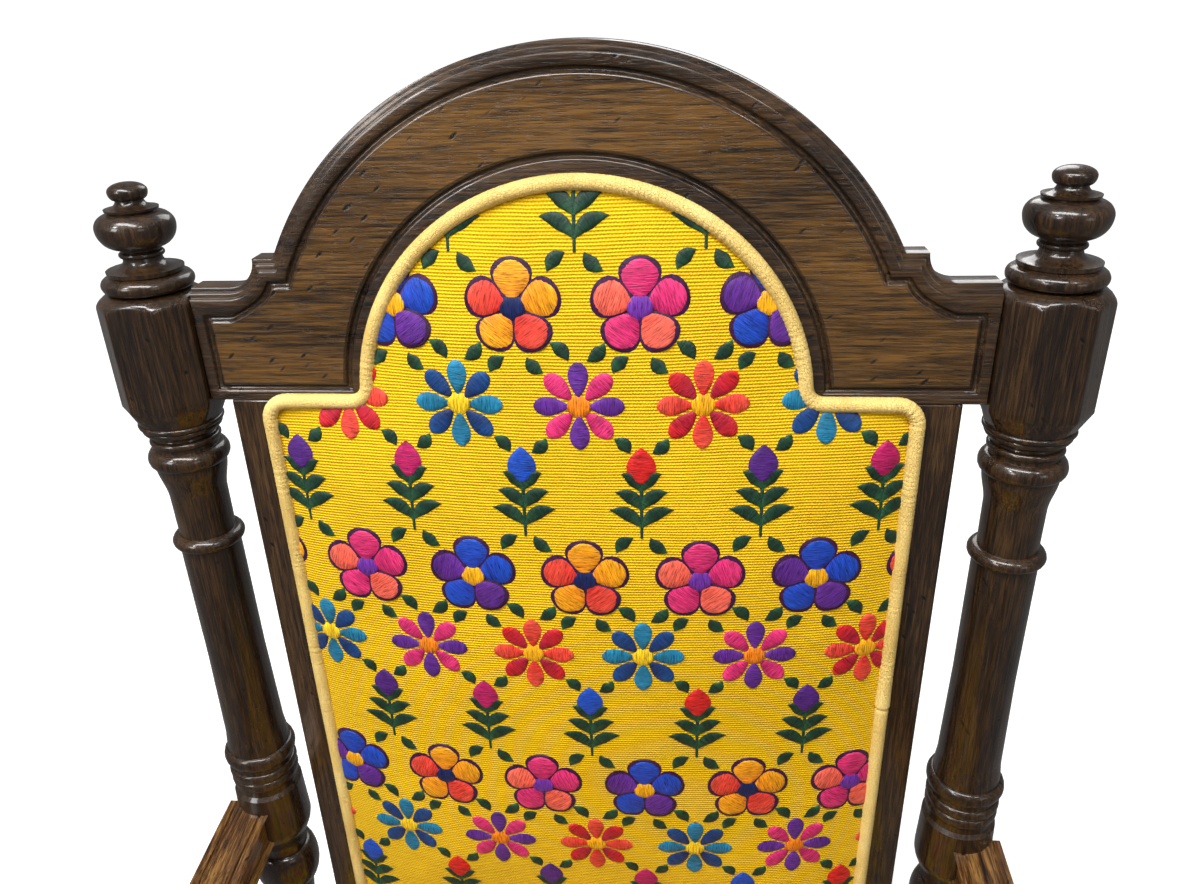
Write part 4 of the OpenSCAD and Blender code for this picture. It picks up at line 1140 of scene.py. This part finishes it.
def flowered(hoop):
    """Fills a pad with rows of blooms, sprigs and daisies, set out from its outline's middle."""
    low, high = hoop.border.min(axis=0), hoop.border.max(axis=0)
    columns = math.ceil((high[0] - low[0]) / COLUMN_PITCH / 2) + 1
    rows = math.ceil((high[1] - low[1]) / ROW_PITCH)
    first = (low[1] + high[1] - (rows - 1) * ROW_PITCH) / 2
    for row in range(rows):
        for column in range(-columns, columns + 1):
            centre = ((column + 0.5 * (row % 2)) * COLUMN_PITCH, first + row * ROW_PITCH)
            (bloom, sprig, daisy)[row % 3](hoop, centre, row // 3 + column)


hoop = Hoop(back_pad, on_back, panel_loop(-2.4))
flowered(hoop)
hoop.piece("BackEmbroidery", LEAN)
hoop = Hoop(seat_pad, on_seat, seat_loop(-6))
flowered(hoop)
hoop.piece("LowerEmbroidery", Matrix.Identity(4))

# ---- CAD parts that stay as they are ----

CARRIED = {
    "back_board": raw_wood, "seat_board": raw_wood, "corner_blocks": raw_wood,
    "rail_dowels": raw_wood, "crest_dowels": raw_wood, "stile_dowels": raw_wood,
    "arm_dowels": raw_wood, "corner_screws": zinc, "seat_screws": zinc, "back_panel_screws": zinc,
    "glide_nails": zinc, "glides": nylon}
for name, material in CARRIED.items():
    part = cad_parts[name]
    part.data.materials.clear()
    part.data.materials.append(material)

# ---- floor, light and camera ----

studio_rows = [[(r * math.cos(a), r * math.sin(a), z) for a in np.radians(np.arange(0, 360, 5))]
               for r, z in [(1, -0.5), (3000, -0.5), (6000, -0.5), (7200, 200), (8000, 900),
                            (8400, 2200), (8500, 6000)]]
verts, faces = skin(studio_rows)
studio = make("Studio", verts, faces)
floor_material, tree, shader = principled("StudioFloor", 0.85)
speckle = noise(tree, node(tree, "TexCoord").outputs["Object"], (3, 3, 3), 2)
tree.links.new(ramp(tree, speckle, (0.3, rgb("f3f3f1")), (0.7, rgb("f8f8f6"))),
               shader.inputs["Base Color"])
shader.inputs["Emission Color"].default_value = (1, 1, 1, 1)
from_middle = node(tree, "VectorMath", {0: node(tree, "TexCoord").outputs["Object"]},
                   operation="LENGTH").outputs["Value"]
glow = ramp(tree, maths(tree, "MULTIPLY", from_middle, 0.25), (0.15, 0.42), (0.7, 0.85))
tree.links.new(glow, shader.inputs["Emission Strength"])
studio.data.materials.append(floor_material)
studio.visible_diffuse = studio.visible_glossy = False      # lit surroundings, not a lamp

bpy.context.scene.view_settings.view_transform = "Standard"
world = bpy.data.worlds.new("StudioWorld")
bpy.context.scene.world = world
world.use_nodes = True
background = world.node_tree.nodes["Background"]
background.inputs[0].default_value = (1, 1, 1, 1)
background.inputs[1].default_value = 0.20


def panel_light(name, place, target, size, power, size_y=None):
    light = bpy.data.lights.new(name, "AREA")
    light.energy, light.size = power, size
    if size_y:
        light.shape, light.size_y = "RECTANGLE", size_y
    lamp = bpy.data.objects.new(name, light)
    bpy.context.scene.collection.objects.link(lamp)
    lamp.location = place
    lamp.rotation_euler = (Vector(target) - Vector(place)).to_track_quat("-Z", "Y").to_euler()


panel_light("Overhead", (-0.25, -0.45, 2.55), (0, 0.1, 1.0), 1.7, 46, 0.4)
panel_light("FrontLeft", (-1.7, -1.8, 2.2), (0, 0, 0.9), 0.8, 26)
panel_light("FrontRight", (1.9, -1.8, 1.7), (0, 0, 0.9), 0.8, 4)
panel_light("HighLeft", (-1.15, -0.75, 2.35), (0, 0.1, 1.1), 0.22, 9)
panel_light("HighRight", (0.95, -0.75, 2.4), (0, 0.1, 1.1), 0.22, 4)
panel_light("Behind", (0.5, 2.6, 2.4), (0, 0, 0.8), 1.4, 26)

LENS = 28.62
camera_data = bpy.data.cameras.new("Camera")
camera_data.lens, camera_data.sensor_width = LENS, 36
camera_data.clip_start = 0.01
camera = bpy.data.objects.new("Camera", camera_data)
bpy.context.scene.collection.objects.link(camera)
YAW, PITCH, ROLL = (math.radians(a) for a in (-6.49, 25.36, 2.15))
ahead0 = Vector((math.sin(YAW), math.cos(YAW), 0))
right0 = Vector((math.cos(YAW), -math.sin(YAW), 0))
up0 = Vector((0, 0, 1))
ahead = ahead0 * math.cos(PITCH) - up0 * math.sin(PITCH)
down = -(up0 * math.cos(PITCH) + ahead0 * math.sin(PITCH))
right = right0 * math.cos(ROLL) + down * math.sin(ROLL)
down = -right0 * math.sin(ROLL) + down * math.cos(ROLL)
turned_by = Matrix((right, -down, -ahead)).transposed().to_4x4()
camera.matrix_world = LEAN @ Matrix.Translation(Vector((67.3, -573.7, 1266.5)) * MM) @ turned_by
bpy.context.scene.camera = camera

bpy.context.view_layer.update()
